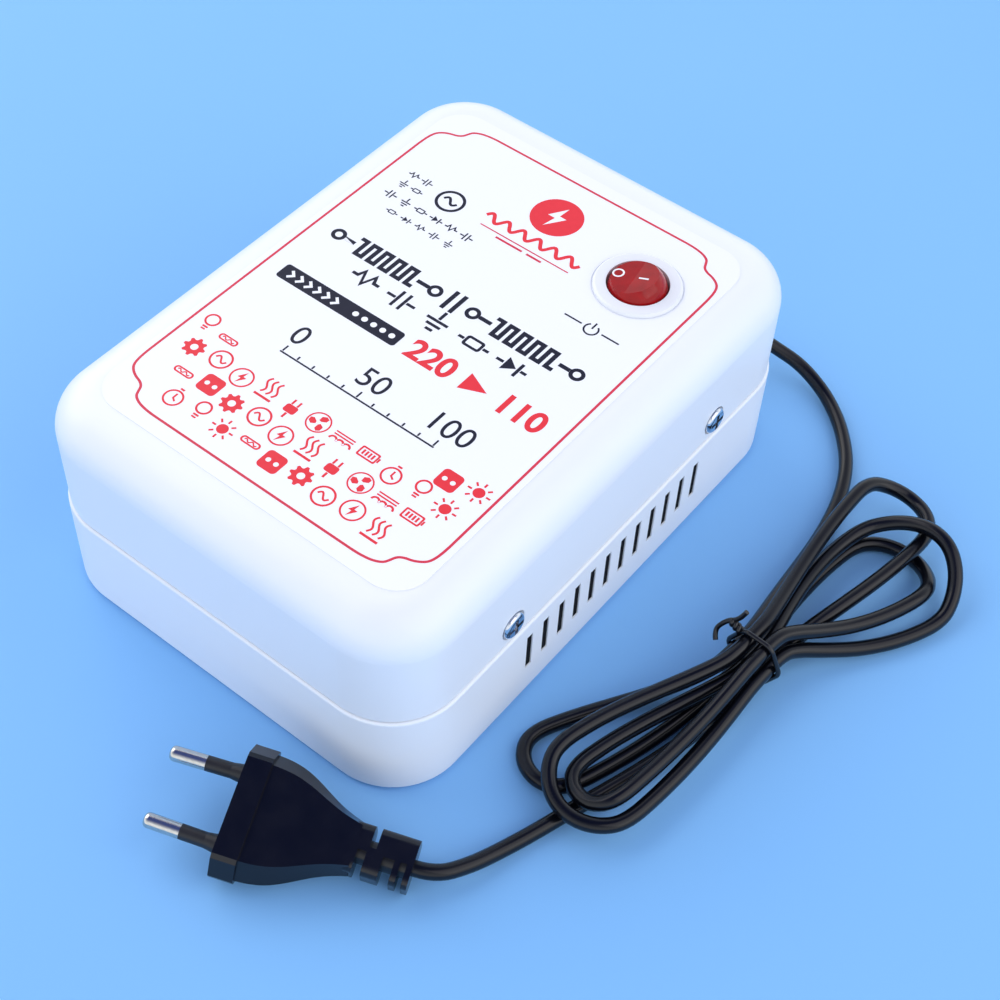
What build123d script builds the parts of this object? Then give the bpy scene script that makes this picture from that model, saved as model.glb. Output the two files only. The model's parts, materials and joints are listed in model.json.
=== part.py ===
from build123d import *
from math import atan2, cos, dist, pi, radians, sin, sqrt, tan
import os

# Travel voltage converter: a two-shell box with a transformer, a rocker switch and an outlet, and a tied cord
# with a plug.
# Millimetres. The origin is on the floor under the middle of the box, +Z up, and the cord leaves the +Y end.

# Case: overall sizes and shell
case_length = 175.0
case_width = 127.0
case_height = 66.4
seam_height = 30.7
seam_gap = 0.5
seam_ledge = 0.6
plan_corner_radius = 20.5
top_edge_radius = 11.0
bottom_edge_radius = 1.2
rim_edge_radius = 0.9
case_wall = 2.6
case_floor = 2.6
tongue_clearance = 0.2
tongue_wall = 1.3
tongue_height = 2.6
tongue_root = 3.0

# Vent slots, in a row on each long side of the lower shell
vent_count = 12
vent_pitch = 6.8
vent_width = 2.4
vent_height = 13.6
vent_bottom = 11.6
screen_backing = 1.2
screen_border = 0.4
screen_rise = 1.0
screen_depth = 0.35

# Screws that hold the shells together, through the long sides
screw_spread = 88.8
screw_height = 36.8
screw_head_radius = 3.9
screw_head_height = 2.0
screw_head_edge = 1.2
screw_recess_radius = 4.4
screw_recess_depth = 0.9
screw_radius = 1.5
screw_hole_radius = 1.8
screw_length = 8.0
screw_cross_width_share = 0.33
screw_cross_length_share = 1.4
screw_cross_depth_share = 0.6
fixed_clearance = 0.05
lug_width = 10.0
lug_depth = 5.6
lug_clearance = 0.3
lug_above_screw = 6.0

# Rubber feet
foot_radius = 6.0
foot_height = 0.5
foot_recess = 1.0
foot_edge_radius = 0.4
foot_inset_x = 24.0
foot_inset_y = 26.0

# Label film on the top face
label_width = 103.4
label_length = 147.0
label_corner_radius = 9.5
label_thickness = 0.2
label_hole_clearance = 0.4

# Rocker switch
switch_x = 32.2
switch_y = 46.6
switch_turn = 10.0
switch_flange_radius = 12.2
switch_flange_height = 1.2
switch_flange_edge = 0.9
switch_barrel_radius = 9.9
switch_hole_clearance = 0.15
switch_bore_radius = 8.65
switch_bore_depth = 11.0
switch_base = 2.0
switch_ear_width = 3.0
switch_ear_reach = 0.9
switch_ear_height = 3.0
panel_clearance = 0.1
rocker_pivot_depth = 2.0
rocker_ball_radius = 8.45
rocker_edge_height = 5.4
rocker_dish = 0.5
rocker_skirt = 2.4
rocker_tilt = 12.0
rocker_pin_radius = 1.1
rocker_pin_clearance = 0.05
rocker_pin_reach = 0.8
rocker_stem_radius = 2.1
rocker_stem_length = 3.6
plunger_radius = 1.1
plunger_clearance = 0.1
plunger_bore_height = 1.2
plunger_gap = 0.15
plunger_length = 3.0
plunger_edge = 0.55
spring_wire_radius = 0.15
spring_turns = 6
spring_gap = 0.15
lever_pivot_depth = 9.6
lever_length = 10.0
lever_width = 3.0
lever_thickness = 0.6
lever_tilt = 8.0
lever_seat_gap = 0.1
blade_width = 4.8
blade_thickness = 0.8
blade_offset = 5.3
blade_length = 7.0
blade_rest_gap = 0.35
lamp_radius = 1.1
lamp_length = 7.0
lamp_offset = 5.0
lamp_gap = 0.2
lamp_edge = 0.55

# Transformer: core of stacked plates, with the middle leg along X
core_length = 96.0
core_width = 80.0
core_leg = 16.0
core_corner_chamfer = 3.0
core_end_room = 9.5
core_top_room = 15.6
core_post_top = 16.8
bolt_inset = 6.5
bolt_hole_radius = 2.3
bolt_radius = 2.0
bolt_head_radius = 3.6
bolt_head_height = 3.0
bolt_socket_width = 3.4
bolt_socket_sides = 6
bolt_socket_depth = 1.8
bolt_depth = 9.0
core_post_radius = 5.2
bobbin_clearance = 0.3
bobbin_wall = 1.3
bobbin_flange = 1.3
bobbin_flange_rise = 9.9
winding_rise = 7.4
winding_side = 13.0
winding_corner_radius = 3.0
winding_gap = 0.1
tape_thickness = 0.5
tape_end_gap = 2.0
cutout_length = 11.0
cutout_width = 6.5
cutout_height = 2.6
cutout_edge = 1.3
cutout_y = 12.0

# Outlet in the +Y end of the lower shell
outlet_x = -18.0
outlet_height = 16.2
outlet_nose_width = 30.0
outlet_nose_height = 20.0
outlet_clearance = 0.2
outlet_recess = 0.3
outlet_corner_radius = 3.0
outlet_flange_border = 1.2
outlet_flange = 2.0
outlet_depth = 19.0
outlet_back_thickness = 2.0
outlet_slot_spacing = 12.7
outlet_slot_width = 2.0
outlet_slot_height = 8.0
outlet_cell_width = 5.0
outlet_cell_height = 9.6
outlet_cell_depth = 13.6
contact_thickness = 0.6
contact_mouth = 1.6
contact_height = 6.0
contact_length = 11.0
contact_inset = 0.3
contact_tail_width = 3.0
contact_tail_length = 5.5
outlet_rib_width = 3.0
outlet_rib_spread = 18.0

# Cord, gland and clamp
cord_radius = 2.1
cord_side_room = 25.5
cord_exit_height = 15.0
gland_flange_radius = 6.0
gland_flange = 2.0
gland_boot_radius = 4.0
gland_boot_length = 1.6
gland_boot_edge = 1.2
gland_neck_radius = 4.8
gland_inner_radius = 5.8
gland_inner_flange = 1.5
gland_clearance = 0.05
cord_inside_length = 22.0
cord_straight = 5.5
clamp_width = 26.0
clamp_length = 7.0
clamp_offset = 14.0
clamp_split = 0.5
clamp_bar_height = 4.6
clamp_bar_edge = 1.5
clamp_screw_spread = 18.0
clamp_screw_radius = 1.4
clamp_screw_length = 14.0
clamp_head_radius = 2.6
clamp_head_height = 1.8
clamp_head_edge = 0.6

# Hank: the waist, held by the tie, and the loops either side of it
hank_x = 106.7
hank_y = 4.5
hank_height = 8.9
hank_turn = 3.0
strand_pitch = 5.1
loop_rest_height = 2.15
waist_half_length = 6.0
arc_run = 6.5
strand_run = 9.5
height_run = 36.0
leave_share = 0.12
arrive_share = 0.45
bend_share = 0.45
gap_step = 1.5
gap_reach = 14.0

# Tie round the waist
tie_inner_radius = 8.0
tie_thickness = 0.8
tie_width = 3.2
tie_end_radius = 0.8
tie_end_places = ((3.4, -7.7, 0.6), (4.6, -8.6, 3.6), (4.2, -9.4, 7.2))

# Plug: it rests on an edge of its flange, rolled towards -Y, and dips towards the cord
plug_x = 33.4
plug_y = -116.4
plug_face_height = 10.62
plug_angle = 22.4
plug_dip = 5.4
plug_roll = 16.0
plug_width = 34.8
plug_height = 13.2
plug_top_width = 26.4
plug_flange_length = 6.4
plug_step = 1.2
plug_length = 46.7
plug_taper_shares = (0.0, 0.22, 0.43, 0.63, 0.83, 1.0)
plug_width_shares = (1.0, 0.955, 0.83, 0.655, 0.505, 0.42)
plug_height_shares = (1.0, 1.0, 1.0, 1.0, 1.0, 1.0)
plug_taper_length = 25.6
plug_neck_width = 12.6
plug_neck_height = 10.6
plug_neck_corner = 2.6
plug_neck_lap = 1.5
plug_core_radius = 3.2
plug_edge = 0.8
plug_slots = (
    (-1, 32.7, 2.3),
    (1, 35.3, 1.7),
    (-1, 39.2, 2.9),
    (-1, 43.6, 1.6),
)
plug_slot_reach = 0.6
pin_spacing = 18.2
pin_toe = 1.2
pin_radius = 2.0
pin_tip_length = 9.5
pin_length = 19.5
pin_neck_radius = 1.4
pin_tip_edge = 1.3
pin_sleeve_radius = 2.0
pin_sleeve_flare = 2.5
pin_flare_length = 3.5
pin_root = 7.0
sleeve_clearance = 0.05
sleeve_face_gap = 0.12
bridge_length = 9.0
bridge_width = 24.0
bridge_height = 7.0
bridge_start = 3.0

# Inner wires: their size, the push-on sockets on the switch, and hand-chosen routes between their ends
wire_radius = 1.1
wire_end_gap = 0.1
wire_pair_offset = 1.15
wire_lead = 8.0
wire_height = 55.2
socket_thickness = 2.8
socket_width = 6.6
socket_length = 6.6
socket_floor = 1.5
socket_edge = 0.8
line_wire_route = ((34.5, 47.5, 22.0),)
neutral_wire_route = ((38.5, 42.0, 19.0), (32.0, 31.0, 38.0), (21.0, 21.0, 54.0), (15.0, 12.0, 55.6))
switched_wire_route = ((22.0, 38.0, 34.0), (11.0, 28.0, 42.0), (7.0, 20.0, 53.6), (5.5, 11.0, 55.6))
output_live_route = ((-22.0, 42.0, 24.0), (-18.0, 31.0, 40.0), (-15.0, 21.0, 53.0), (-14.0, 11.0, 55.6))
output_neutral_route = ((-9.5, 42.0, 24.0), (-7.0, 31.0, 40.0), (-5.5, 21.0, 53.0), (-5.0, 11.0, 55.6))
cut_overrun = 1.0

# Cord routes, chosen by hand from the photograph: from the gland to the waist, and from the waist to the plug
lead_route = (
    (38.0, 96.6, 15.0),
    (41.8, 101.6, 13.0),
    (49.5, 104.2, 9.0),
    (57.0, 105.6, 6.6),
    (64.5, 104.6, 4.2),
    (72.0, 101.4, 2.6),
    (80.5, 94.5, 2.15),
    (88.8, 84.0, 2.15),
    (94.2, 71.0, 2.15),
    (97.0, 56.5, 2.15),
    (98.2, 42.0, 2.5),
    (99.8, 28.0, 5.9),
)
tail_route = (
    (107.9, -14.0, 3.0),
    (105.6, -25.0, 2.2),
    (102.5, -37.0, 2.15),
    (98.8, -49.0, 2.15),
    (95.0, -60.0, 2.15),
    (91.6, -71.0, 2.15),
    (88.4, -80.4, 2.6),
    (85.8, -88.6, 4.3),
)

# Loops of the hank, towards -Y and then towards +Y, in the order the cord runs through them. Each has the
# middle and radius of its round end, the way it turns, and the layers of its first side, end and last.
lower_loops = (
    (83.2, -48.8, 9.2, 1, (0, 0, 0)),
    (97.6, -50.4, 7.6, -1, (1.8, 1, 1)),
    (97.0, -50.6, 13.0, -1, (1, 1, 1.8)),
)
upper_loops = (
    (118.0, 53.0, 13.0, -1, (0, 0, 1)),
    (121.3, 52.8, 17.0, -1, (1, 2.1, 0)),
    (110.6, 69.0, 11.0, -1, (2.1, 1, 1)),
)


def box(x0, x1, y0, y1, z0, z1):
    """A block between two corners."""
    middle = Pos((x0 + x1) / 2, (y0 + y1) / 2, (z0 + z1) / 2)
    return middle * Box(abs(x1 - x0), abs(y1 - y0), abs(z1 - z0))


def rod(start, direction, radius, length):
    """A round bar from a point along a direction."""
    plane = Plane(origin=start, z_dir=direction)
    return extrude(plane * Circle(radius), length)


def case_block(inset, bottom, top):
    """The case's outline drawn in by an inset, between two heights."""
    outline = RectangleRounded(case_width - 2 * inset, case_length - 2 * inset, plan_corner_radius - inset)
    return extrude(Pos(0, 0, bottom) * outline, top - bottom)


def top_face_edges(shape):
    """The edges round the highest face."""
    return shape.faces().sort_by(Axis.Z)[-1].edges()


def bottom_face_edges(shape):
    """The edges round the lowest face."""
    return shape.faces().sort_by(Axis.Z)[0].edges()


def corners(spread_x, spread_y):
    """The four places of a pattern about the origin."""
    return [(sx * spread_x / 2, sy * spread_y / 2) for sx in (1, -1) for sy in (1, -1)]


def screw_places():
    """Each case screw as its side, its Y and the wall's outer face there."""
    wall_face = case_width / 2 - seam_ledge
    return [(side, end * screw_spread / 2, wall_face) for side in (1, -1) for end in (1, -1)]


case_bottom = foot_height
case_inside_bottom = case_bottom + case_floor
post_foot = case_bottom + case_floor / 2
upper_bottom = seam_height + seam_gap
upper_wall_inset = seam_ledge + case_wall
cord_x = case_width / 2 - cord_side_room
end_wall = case_length / 2
end_wall_inside = end_wall - case_wall


def upper_case():
    outer = case_block(seam_ledge, upper_bottom, case_height)
    outer = fillet(top_face_edges(outer), top_edge_radius)
    inner = case_block(upper_wall_inset, upper_bottom, case_height - case_wall)
    inner = fillet(top_face_edges(inner), top_edge_radius - case_wall)
    shell = outer - inner
    hole_bottom = (switch_x, switch_y, case_height - case_wall - cut_overrun)
    hole_radius = switch_barrel_radius + switch_hole_clearance
    shell -= rod(hole_bottom, (0, 0, 1), hole_radius, case_wall + 2 * cut_overrun)
    for side, y, face in screw_places():
        start = (side * (face - case_wall - cut_overrun), y, screw_height)
        shell -= rod(start, (side, 0, 0), screw_hole_radius, case_wall + 2 * cut_overrun)
        recess = (side * (face - screw_recess_depth), y, screw_height)
        shell -= rod(recess, (side, 0, 0), screw_recess_radius, screw_recess_depth + cut_overrun)
    return shell


def lower_tongue():
    """The rim that stands up inside the upper shell."""
    outer_inset = upper_wall_inset + tongue_clearance
    inner_inset = outer_inset + tongue_wall
    bottom = seam_height - tongue_root
    root = case_block(case_wall / 2, bottom, seam_height - rim_edge_radius)
    rim = case_block(outer_inset, bottom, seam_height + tongue_height)
    return (root + rim) - case_block(inner_inset, bottom, seam_height + tongue_height)


def lower_case():
    outer = case_block(0, case_bottom, seam_height)
    outer = fillet(bottom_face_edges(outer), bottom_edge_radius)
    outer = fillet(top_face_edges(outer), rim_edge_radius)
    shell = outer - case_block(case_wall, case_inside_bottom, seam_height)
    shell += lower_tongue()
    for side, y, face in screw_places():
        lug_face = face - case_wall - lug_clearance
        half = lug_width / 2
        top = screw_height + lug_above_screw
        low_face = case_width / 2 - case_wall / 2
        shell += box(side * (lug_face - lug_depth), side * lug_face, y - half, y + half, post_foot, top)
        lug_top = seam_height - tongue_root
        shell += box(side * lug_face, side * low_face, y - half, y + half, post_foot, lug_top)
        hole_start = (side * (face + screw_recess_depth), y, screw_height)
        depth = case_wall + lug_clearance + lug_depth + 2 * screw_recess_depth
        shell -= rod(hole_start, (-side, 0, 0), screw_radius + fixed_clearance, depth)
    for x, y in core_bolt_places():
        shell += rod((x, y, post_foot), (0, 0, 1), core_post_radius, core_post_top - post_foot)
        hole = bolt_radius + fixed_clearance
        shell -= rod((x, y, core_post_top - bolt_depth), (0, 0, 1), hole, bolt_depth + cut_overrun)
    shell += clamp_seat()
    rib_top = outlet_height - outlet_nose_height / 2
    for end in (1, -1):
        x = outlet_x + end * outlet_rib_spread / 2
        back = end_wall_inside - outlet_flange - outlet_depth
        front = end_wall_inside - outlet_flange - outlet_clearance
        half = outlet_rib_width / 2
        shell += box(x - half, x + half, back, front, post_foot, rib_top)
    for x, y in corners(case_width - 2 * foot_inset_x, case_length - 2 * foot_inset_y):
        hole = foot_radius + fixed_clearance
        shell -= rod((x, y, case_bottom - cut_overrun), (0, 0, 1), hole, foot_recess + cut_overrun)
    shell -= vent_cutters()
    shell -= outlet_opening()
    hole_start = (cord_x, end_wall_inside - cut_overrun, cord_exit_height)
    shell -= rod(hole_start, (0, 1, 0), gland_neck_radius + gland_clearance, case_wall + 2 * cut_overrun)
    return shell


def vent_places():
    """The Y of each slot."""
    return [(i - (vent_count - 1) / 2) * vent_pitch for i in range(vent_count)]


def vent_cutters():
    """Upright slots through both long walls."""
    cutters = []
    half = vent_width / 2
    for side in (1, -1):
        outside = side * (case_width / 2 + cut_overrun)
        inside = side * (case_width / 2 - case_wall - cut_overrun)
        for y in vent_places():
            cutters.append(box(inside, outside, y - half, y + half, vent_bottom, vent_bottom + vent_height))
    return cutters


def vent_screens():
    """Foam strips behind the slots, pressed into them from inside."""
    screens = []
    half = vent_width / 2 - fixed_clearance
    reach = (vent_count - 1) * vent_pitch / 2 + vent_width / 2 + screen_border
    wall = case_width / 2 - case_wall - fixed_clearance
    bottom = vent_bottom + fixed_clearance
    top = vent_bottom + vent_height - fixed_clearance
    for side in (1, -1):
        back = side * (wall - screen_backing)
        screen = box(back, side * wall, -reach, reach, bottom - screen_rise, top + screen_rise)
        for y in vent_places():
            screen += box(back, side * (case_width / 2 - screen_depth), y - half, y + half, bottom, top)
        screens.append(screen)
    return Compound(screens)


def outlet_opening():
    """The hole in the end wall that the outlet's nose fills."""
    width = outlet_nose_width + 2 * outlet_clearance
    height = outlet_nose_height + 2 * outlet_clearance
    plane = Plane(origin=(outlet_x, end_wall + cut_overrun, outlet_height), x_dir=(1, 0, 0), z_dir=(0, -1, 0))
    outline = RectangleRounded(width, height, outlet_corner_radius + outlet_clearance)
    return extrude(plane * outline, case_wall + 2 * cut_overrun)


def rubber_feet():
    feet = []
    for x, y in corners(case_width - 2 * foot_inset_x, case_length - 2 * foot_inset_y):
        foot = rod((x, y, 0), (0, 0, 1), foot_radius, foot_height + foot_recess)
        feet.append(fillet(bottom_face_edges(foot), foot_edge_radius))
    return Compound(feet)


def top_label():
    outline = RectangleRounded(label_width, label_length, label_corner_radius)
    film = extrude(Pos(0, 0, case_height) * outline, label_thickness)
    hole = switch_flange_radius + label_hole_clearance
    return film - rod((switch_x, switch_y, case_height - cut_overrun), (0, 0, 1), hole, 2 * cut_overrun)


def pan_screw(seat, direction, head_radius, head_height, edge, shank_radius, shank_length):
    """A screw with a rounded head and a cross recess, its head standing on a seat along a direction."""
    head = rod(seat, direction, head_radius, head_height)
    far_edge = head.edges().filter_by(GeomType.CIRCLE).sort_by(Axis(seat, direction))[-1]
    head = fillet(far_edge, edge)
    plane = Plane(origin=seat, z_dir=direction)
    shank = extrude(plane * Circle(shank_radius), -shank_length)
    length = head_radius * screw_cross_length_share
    width = head_radius * screw_cross_width_share
    cross = Rectangle(length, width) + Rectangle(width, length)
    cut_depth = head_height * screw_cross_depth_share
    top = plane.offset(head_height - cut_depth)
    return head + shank - extrude(top * cross, cut_depth + cut_overrun)


def case_screws():
    screws = []
    for side, y, face in screw_places():
        seat = (side * (face - screw_recess_depth), y, screw_height)
        sizes = (screw_head_radius, screw_head_height, screw_head_edge, screw_radius, screw_length)
        screws.append(pan_screw(seat, (side, 0, 0), *sizes))
    return Compound(screws)


switch_plane = Plane(
    origin=(switch_x, switch_y, case_height),
    x_dir=(cos(radians(switch_turn)), sin(radians(switch_turn)), 0),
    z_dir=(0, 0, 1),
)
pivot_plane = switch_plane.offset(-rocker_pivot_depth)
lever_plane = switch_plane.offset(-lever_pivot_depth)


def tilted(plane, angle):
    """A plane turned about its own Y axis."""
    return plane * Rot(0, angle, 0)


def switch_body():
    flange = extrude(Circle(switch_flange_radius), switch_flange_height)
    flange = fillet(top_face_edges(flange), switch_flange_edge)
    barrel = extrude(Circle(switch_barrel_radius), -(switch_bore_depth + switch_base))
    body = flange + barrel
    ear_top = -(case_wall + panel_clearance)
    half = switch_ear_width / 2
    for side in (1, -1):
        inner = side * (switch_barrel_radius - switch_ear_reach)
        outer = side * (switch_barrel_radius + switch_ear_reach)
        body += box(-half, half, inner, outer, ear_top - switch_ear_height, ear_top)
    bore = Pos(0, 0, -switch_bore_depth) * Circle(switch_bore_radius)
    body -= extrude(bore, switch_bore_depth + switch_flange_height)
    pin_hole = rocker_pin_radius + rocker_pin_clearance
    reach = switch_bore_radius + rocker_pin_reach + rocker_pin_clearance
    body -= Pos(0, -reach, -rocker_pivot_depth) * Rot(-90, 0, 0) * extrude(Circle(pin_hole), 2 * reach)
    for x in (-blade_offset, 0, blade_offset):
        half_x = blade_thickness / 2 + fixed_clearance
        half_y = blade_width / 2 + fixed_clearance
        bottom = -(switch_bore_depth + switch_base + cut_overrun)
        body -= box(x - half_x, x + half_x, -half_y, half_y, bottom, -switch_bore_depth + cut_overrun)
    return switch_plane * body


def switch_rocker():
    ball = Sphere(rocker_ball_radius)
    edge = sqrt(rocker_ball_radius ** 2 - rocker_edge_height ** 2)
    reach = rocker_ball_radius + cut_overrun
    outline = Polyline(
        (-reach, -rocker_skirt),
        (reach, -rocker_skirt),
        (reach, rocker_edge_height),
        (edge, rocker_edge_height),
        (0, rocker_edge_height - rocker_dish),
        (-edge, rocker_edge_height),
        (-reach, rocker_edge_height),
        close=True,
    )
    slab = extrude(Plane.XZ * make_face(outline), reach, both=True)
    rocker = ball & slab
    stem_top = -rocker_skirt + cut_overrun
    rocker += Pos(0, 0, stem_top) * extrude(Circle(rocker_stem_radius), -(rocker_stem_length + cut_overrun))
    pin_half = switch_bore_radius + rocker_pin_reach
    rocker += Pos(0, -pin_half, 0) * Rot(-90, 0, 0) * extrude(Circle(rocker_pin_radius), 2 * pin_half)
    bore_bottom = -(rocker_skirt + rocker_stem_length + cut_overrun)
    bore = Circle(plunger_radius + plunger_clearance)
    rocker -= Pos(0, 0, bore_bottom) * extrude(bore, plunger_bore_height - bore_bottom)
    return tilted(pivot_plane, -rocker_tilt) * rocker


lever_top = rocker_pivot_depth - lever_pivot_depth + lever_thickness
plunger_tip = lever_top + plunger_gap


def switch_plunger():
    pin = extrude(Pos(0, 0, plunger_tip) * Circle(plunger_radius), plunger_length)
    pin = fillet(bottom_face_edges(pin), plunger_edge)
    return tilted(pivot_plane, -rocker_tilt) * pin


def switch_spring():
    """A coil spring between the plunger and the end of its bore."""
    bottom = plunger_tip + plunger_length + spring_wire_radius + wire_end_gap
    top = plunger_bore_height - spring_wire_radius - wire_end_gap
    radius = plunger_radius - spring_gap
    helix = Pos(0, 0, bottom) * Helix((top - bottom) / spring_turns, top - bottom, radius)
    start = Plane(origin=helix @ 0, z_dir=helix % 0)
    coil = sweep(start * Circle(spring_wire_radius), path=helix)
    return tilted(pivot_plane, -rocker_tilt) * coil


def switch_contact_lever():
    half = lever_length / 2
    plate = box(-half, half, -lever_width / 2, lever_width / 2, 0, lever_thickness)
    return tilted(lever_plane, lever_tilt) * plate


def switch_terminals():
    """The middle blade carries the lever, and the others are the switched contact and the lamp's."""
    drop = (lever_length / 2) * sin(radians(lever_tilt))
    tops = {
        -blade_offset: -(lever_pivot_depth + drop + blade_rest_gap),
        0: -(lever_pivot_depth + lever_seat_gap),
        blade_offset: -(lever_pivot_depth + drop + blade_rest_gap),
    }
    bottom = -(switch_bore_depth + switch_base + blade_length)
    blades = []
    for x, top in tops.items():
        half_x = blade_thickness / 2
        half_y = blade_width / 2
        blades.append(switch_plane * box(x - half_x, x + half_x, -half_y, half_y, bottom, top))
    return Compound(blades)


def switch_lamp():
    height = lamp_radius + lamp_gap - switch_bore_depth
    tube = rod((-lamp_length / 2, lamp_offset, height), (1, 0, 0), lamp_radius, lamp_length)
    return switch_plane * fillet(tube.edges().filter_by(GeomType.CIRCLE), lamp_edge)


core_stack = case_height - core_top_room - core_post_top
core_y = core_end_room + (core_length - case_length) / 2
core_bottom = core_post_top
core_middle = core_bottom + core_stack / 2
core_top = core_bottom + core_stack
window_length = core_width - 2 * core_leg
window_width = (core_length - 4 * core_leg) / 2


def core_bolt_places():
    """The core's four corner holes."""
    return [(x, core_y + y) for x, y in corners(core_width - 2 * bolt_inset, core_length - 2 * bolt_inset)]


def transformer_core():
    plate = Rectangle(core_width, core_length)
    plate = chamfer(plate.vertices(), core_corner_chamfer)
    for side in (1, -1):
        plate -= Pos(0, side * (core_leg + window_width / 2)) * Rectangle(window_length, window_width)
    core = Pos(0, core_y, core_bottom) * extrude(plate, core_stack)
    depth = core_stack + 2 * cut_overrun
    for x, y in core_bolt_places():
        core -= rod((x, y, core_bottom - cut_overrun), (0, 0, 1), bolt_hole_radius, depth)
    return core


def coil_ring(x0, x1, inner_side, inner_rise, outer_side, outer_rise, radius):
    """A rectangular ring round the core's middle leg, with rounded outer corners."""
    plane = Plane(origin=(x0, core_y, core_middle), x_dir=(0, 1, 0), z_dir=(1, 0, 0))
    outer = RectangleRounded(2 * outer_side, 2 * outer_rise, radius)
    return extrude(plane * (outer - Rectangle(2 * inner_side, 2 * inner_rise)), x1 - x0)


bobbin_side = core_leg + bobbin_clearance + bobbin_wall
bobbin_rise = core_stack / 2 + bobbin_clearance + bobbin_wall
bobbin_half = window_length / 2 - bobbin_clearance
winding_half = bobbin_half - bobbin_flange - winding_gap
tape_side = bobbin_side + winding_side + winding_gap + tape_thickness
tape_rise = bobbin_rise + winding_rise + winding_gap + tape_thickness


def transformer_bobbin():
    inner_side = core_leg + bobbin_clearance
    inner_rise = core_stack / 2 + bobbin_clearance
    sides = (inner_side, inner_rise, bobbin_side, bobbin_rise)
    tube = coil_ring(-bobbin_half, bobbin_half, *sides, bobbin_wall / 2)
    flange_side = core_leg + window_width - bobbin_clearance
    flange_rise = core_stack / 2 + bobbin_flange_rise
    for side in (1, -1):
        outer = side * bobbin_half
        inner = side * (bobbin_half - bobbin_flange)
        low, high = sorted((outer, inner))
        tube += coil_ring(low, high, inner_side, inner_rise, flange_side, flange_rise, bobbin_wall)
    return tube


def transformer_winding():
    side = bobbin_side + winding_side
    rise = bobbin_rise + winding_rise
    return coil_ring(
        -winding_half,
        winding_half,
        bobbin_side + fixed_clearance,
        bobbin_rise + fixed_clearance,
        side,
        rise,
        winding_corner_radius,
    )


def winding_tape():
    half = winding_half - tape_end_gap
    side = bobbin_side + winding_side + winding_gap
    rise = bobbin_rise + winding_rise + winding_gap
    plane = Plane(origin=(-half, core_y, core_middle), x_dir=(0, 1, 0), z_dir=(1, 0, 0))
    outer = RectangleRounded(2 * tape_side, 2 * tape_rise, winding_corner_radius + tape_thickness)
    inner = RectangleRounded(2 * side, 2 * rise, winding_corner_radius)
    return extrude(plane * (outer - inner), 2 * half)


def transformer_bolts():
    bolts = []
    for x, y in core_bolt_places():
        head = rod((x, y, core_top), (0, 0, 1), bolt_head_radius, bolt_head_height)
        bottom = core_post_top - bolt_depth + fixed_clearance
        shank = rod((x, y, bottom), (0, 0, 1), bolt_radius, core_top - bottom)
        plane = Plane(origin=(x, y, core_top + bolt_head_height - bolt_socket_depth))
        hexagon = RegularPolygon(bolt_socket_width / 2, bolt_socket_sides)
        socket = extrude(plane * hexagon, bolt_socket_depth + cut_overrun)
        bolts.append(head + shank - socket)
    return Compound(bolts)


def thermal_cutout():
    bottom = core_middle + tape_rise + fixed_clearance
    y = core_y + cutout_y
    half_x = cutout_length / 2
    half_y = cutout_width / 2
    block = box(-half_x, half_x, y - half_y, y + half_y, bottom, bottom + cutout_height)
    return fillet(block.edges().filter_by(Axis.Z), cutout_edge)


outlet_plane = Plane(
    origin=(outlet_x, end_wall - outlet_recess, outlet_height),
    x_dir=(-1, 0, 0),
    z_dir=(0, 1, 0),
)
flange_front = -(case_wall - outlet_recess + fixed_clearance)
flange_back = flange_front - outlet_flange
body_back = flange_front - outlet_depth + outlet_back_thickness


def outlet_nose(start, end):
    """The outlet's rounded block between two depths behind its face."""
    outline = RectangleRounded(outlet_nose_width, outlet_nose_height, outlet_corner_radius)
    return extrude(Pos(0, 0, start) * outline, end - start)


def outlet_face():
    body = outlet_nose(body_back, 0)
    border = 2 * outlet_flange_border
    flange = RectangleRounded(outlet_nose_width + border, outlet_nose_height + border, outlet_corner_radius)
    body += extrude(Pos(0, 0, flange_back) * flange, outlet_flange)
    for side in (1, -1):
        x = side * outlet_slot_spacing / 2
        slot = Pos(x, 0, body_back) * Rectangle(outlet_slot_width, outlet_slot_height)
        body -= extrude(slot, -body_back + cut_overrun)
        cell = Pos(x, 0, body_back - cut_overrun) * Rectangle(outlet_cell_width, outlet_cell_height)
        body -= extrude(cell, outlet_cell_depth + cut_overrun)
    return outlet_plane * body


def outlet_back():
    plate = outlet_nose(body_back - outlet_back_thickness, body_back - fixed_clearance)
    for side in (1, -1):
        hole_width = contact_thickness + 2 * fixed_clearance
        hole_height = contact_tail_width + 2 * fixed_clearance
        tail = Pos(side * outlet_slot_spacing / 2, 0, body_back - outlet_back_thickness - cut_overrun)
        plate -= extrude(tail * Rectangle(hole_width, hole_height), outlet_back_thickness + 2 * cut_overrun)
    return outlet_plane * plate


contact_back = body_back + contact_inset
contact_tail_end = body_back - outlet_back_thickness - contact_tail_length


def outlet_contact(side):
    """A folded brass clip with two leaves and a tail that runs out of the back."""
    x = side * outlet_slot_spacing / 2
    half_height = contact_height / 2
    half_mouth = contact_mouth / 2
    outer = half_mouth + contact_thickness
    clip_top = contact_back + contact_thickness
    clip = box(x - outer, x + outer, -half_height, half_height, contact_back, clip_top)
    for leaf in (1, -1):
        low, high = sorted((x + leaf * half_mouth, x + leaf * outer))
        clip += box(low, high, -half_height, half_height, contact_back, contact_back + contact_length)
    half_tail = contact_tail_width / 2
    half_metal = contact_thickness / 2
    clip += box(x - half_metal, x + half_metal, -half_tail, half_tail, contact_tail_end, clip_top)
    return outlet_plane * clip


gland_tip = end_wall + gland_flange + gland_boot_length


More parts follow.
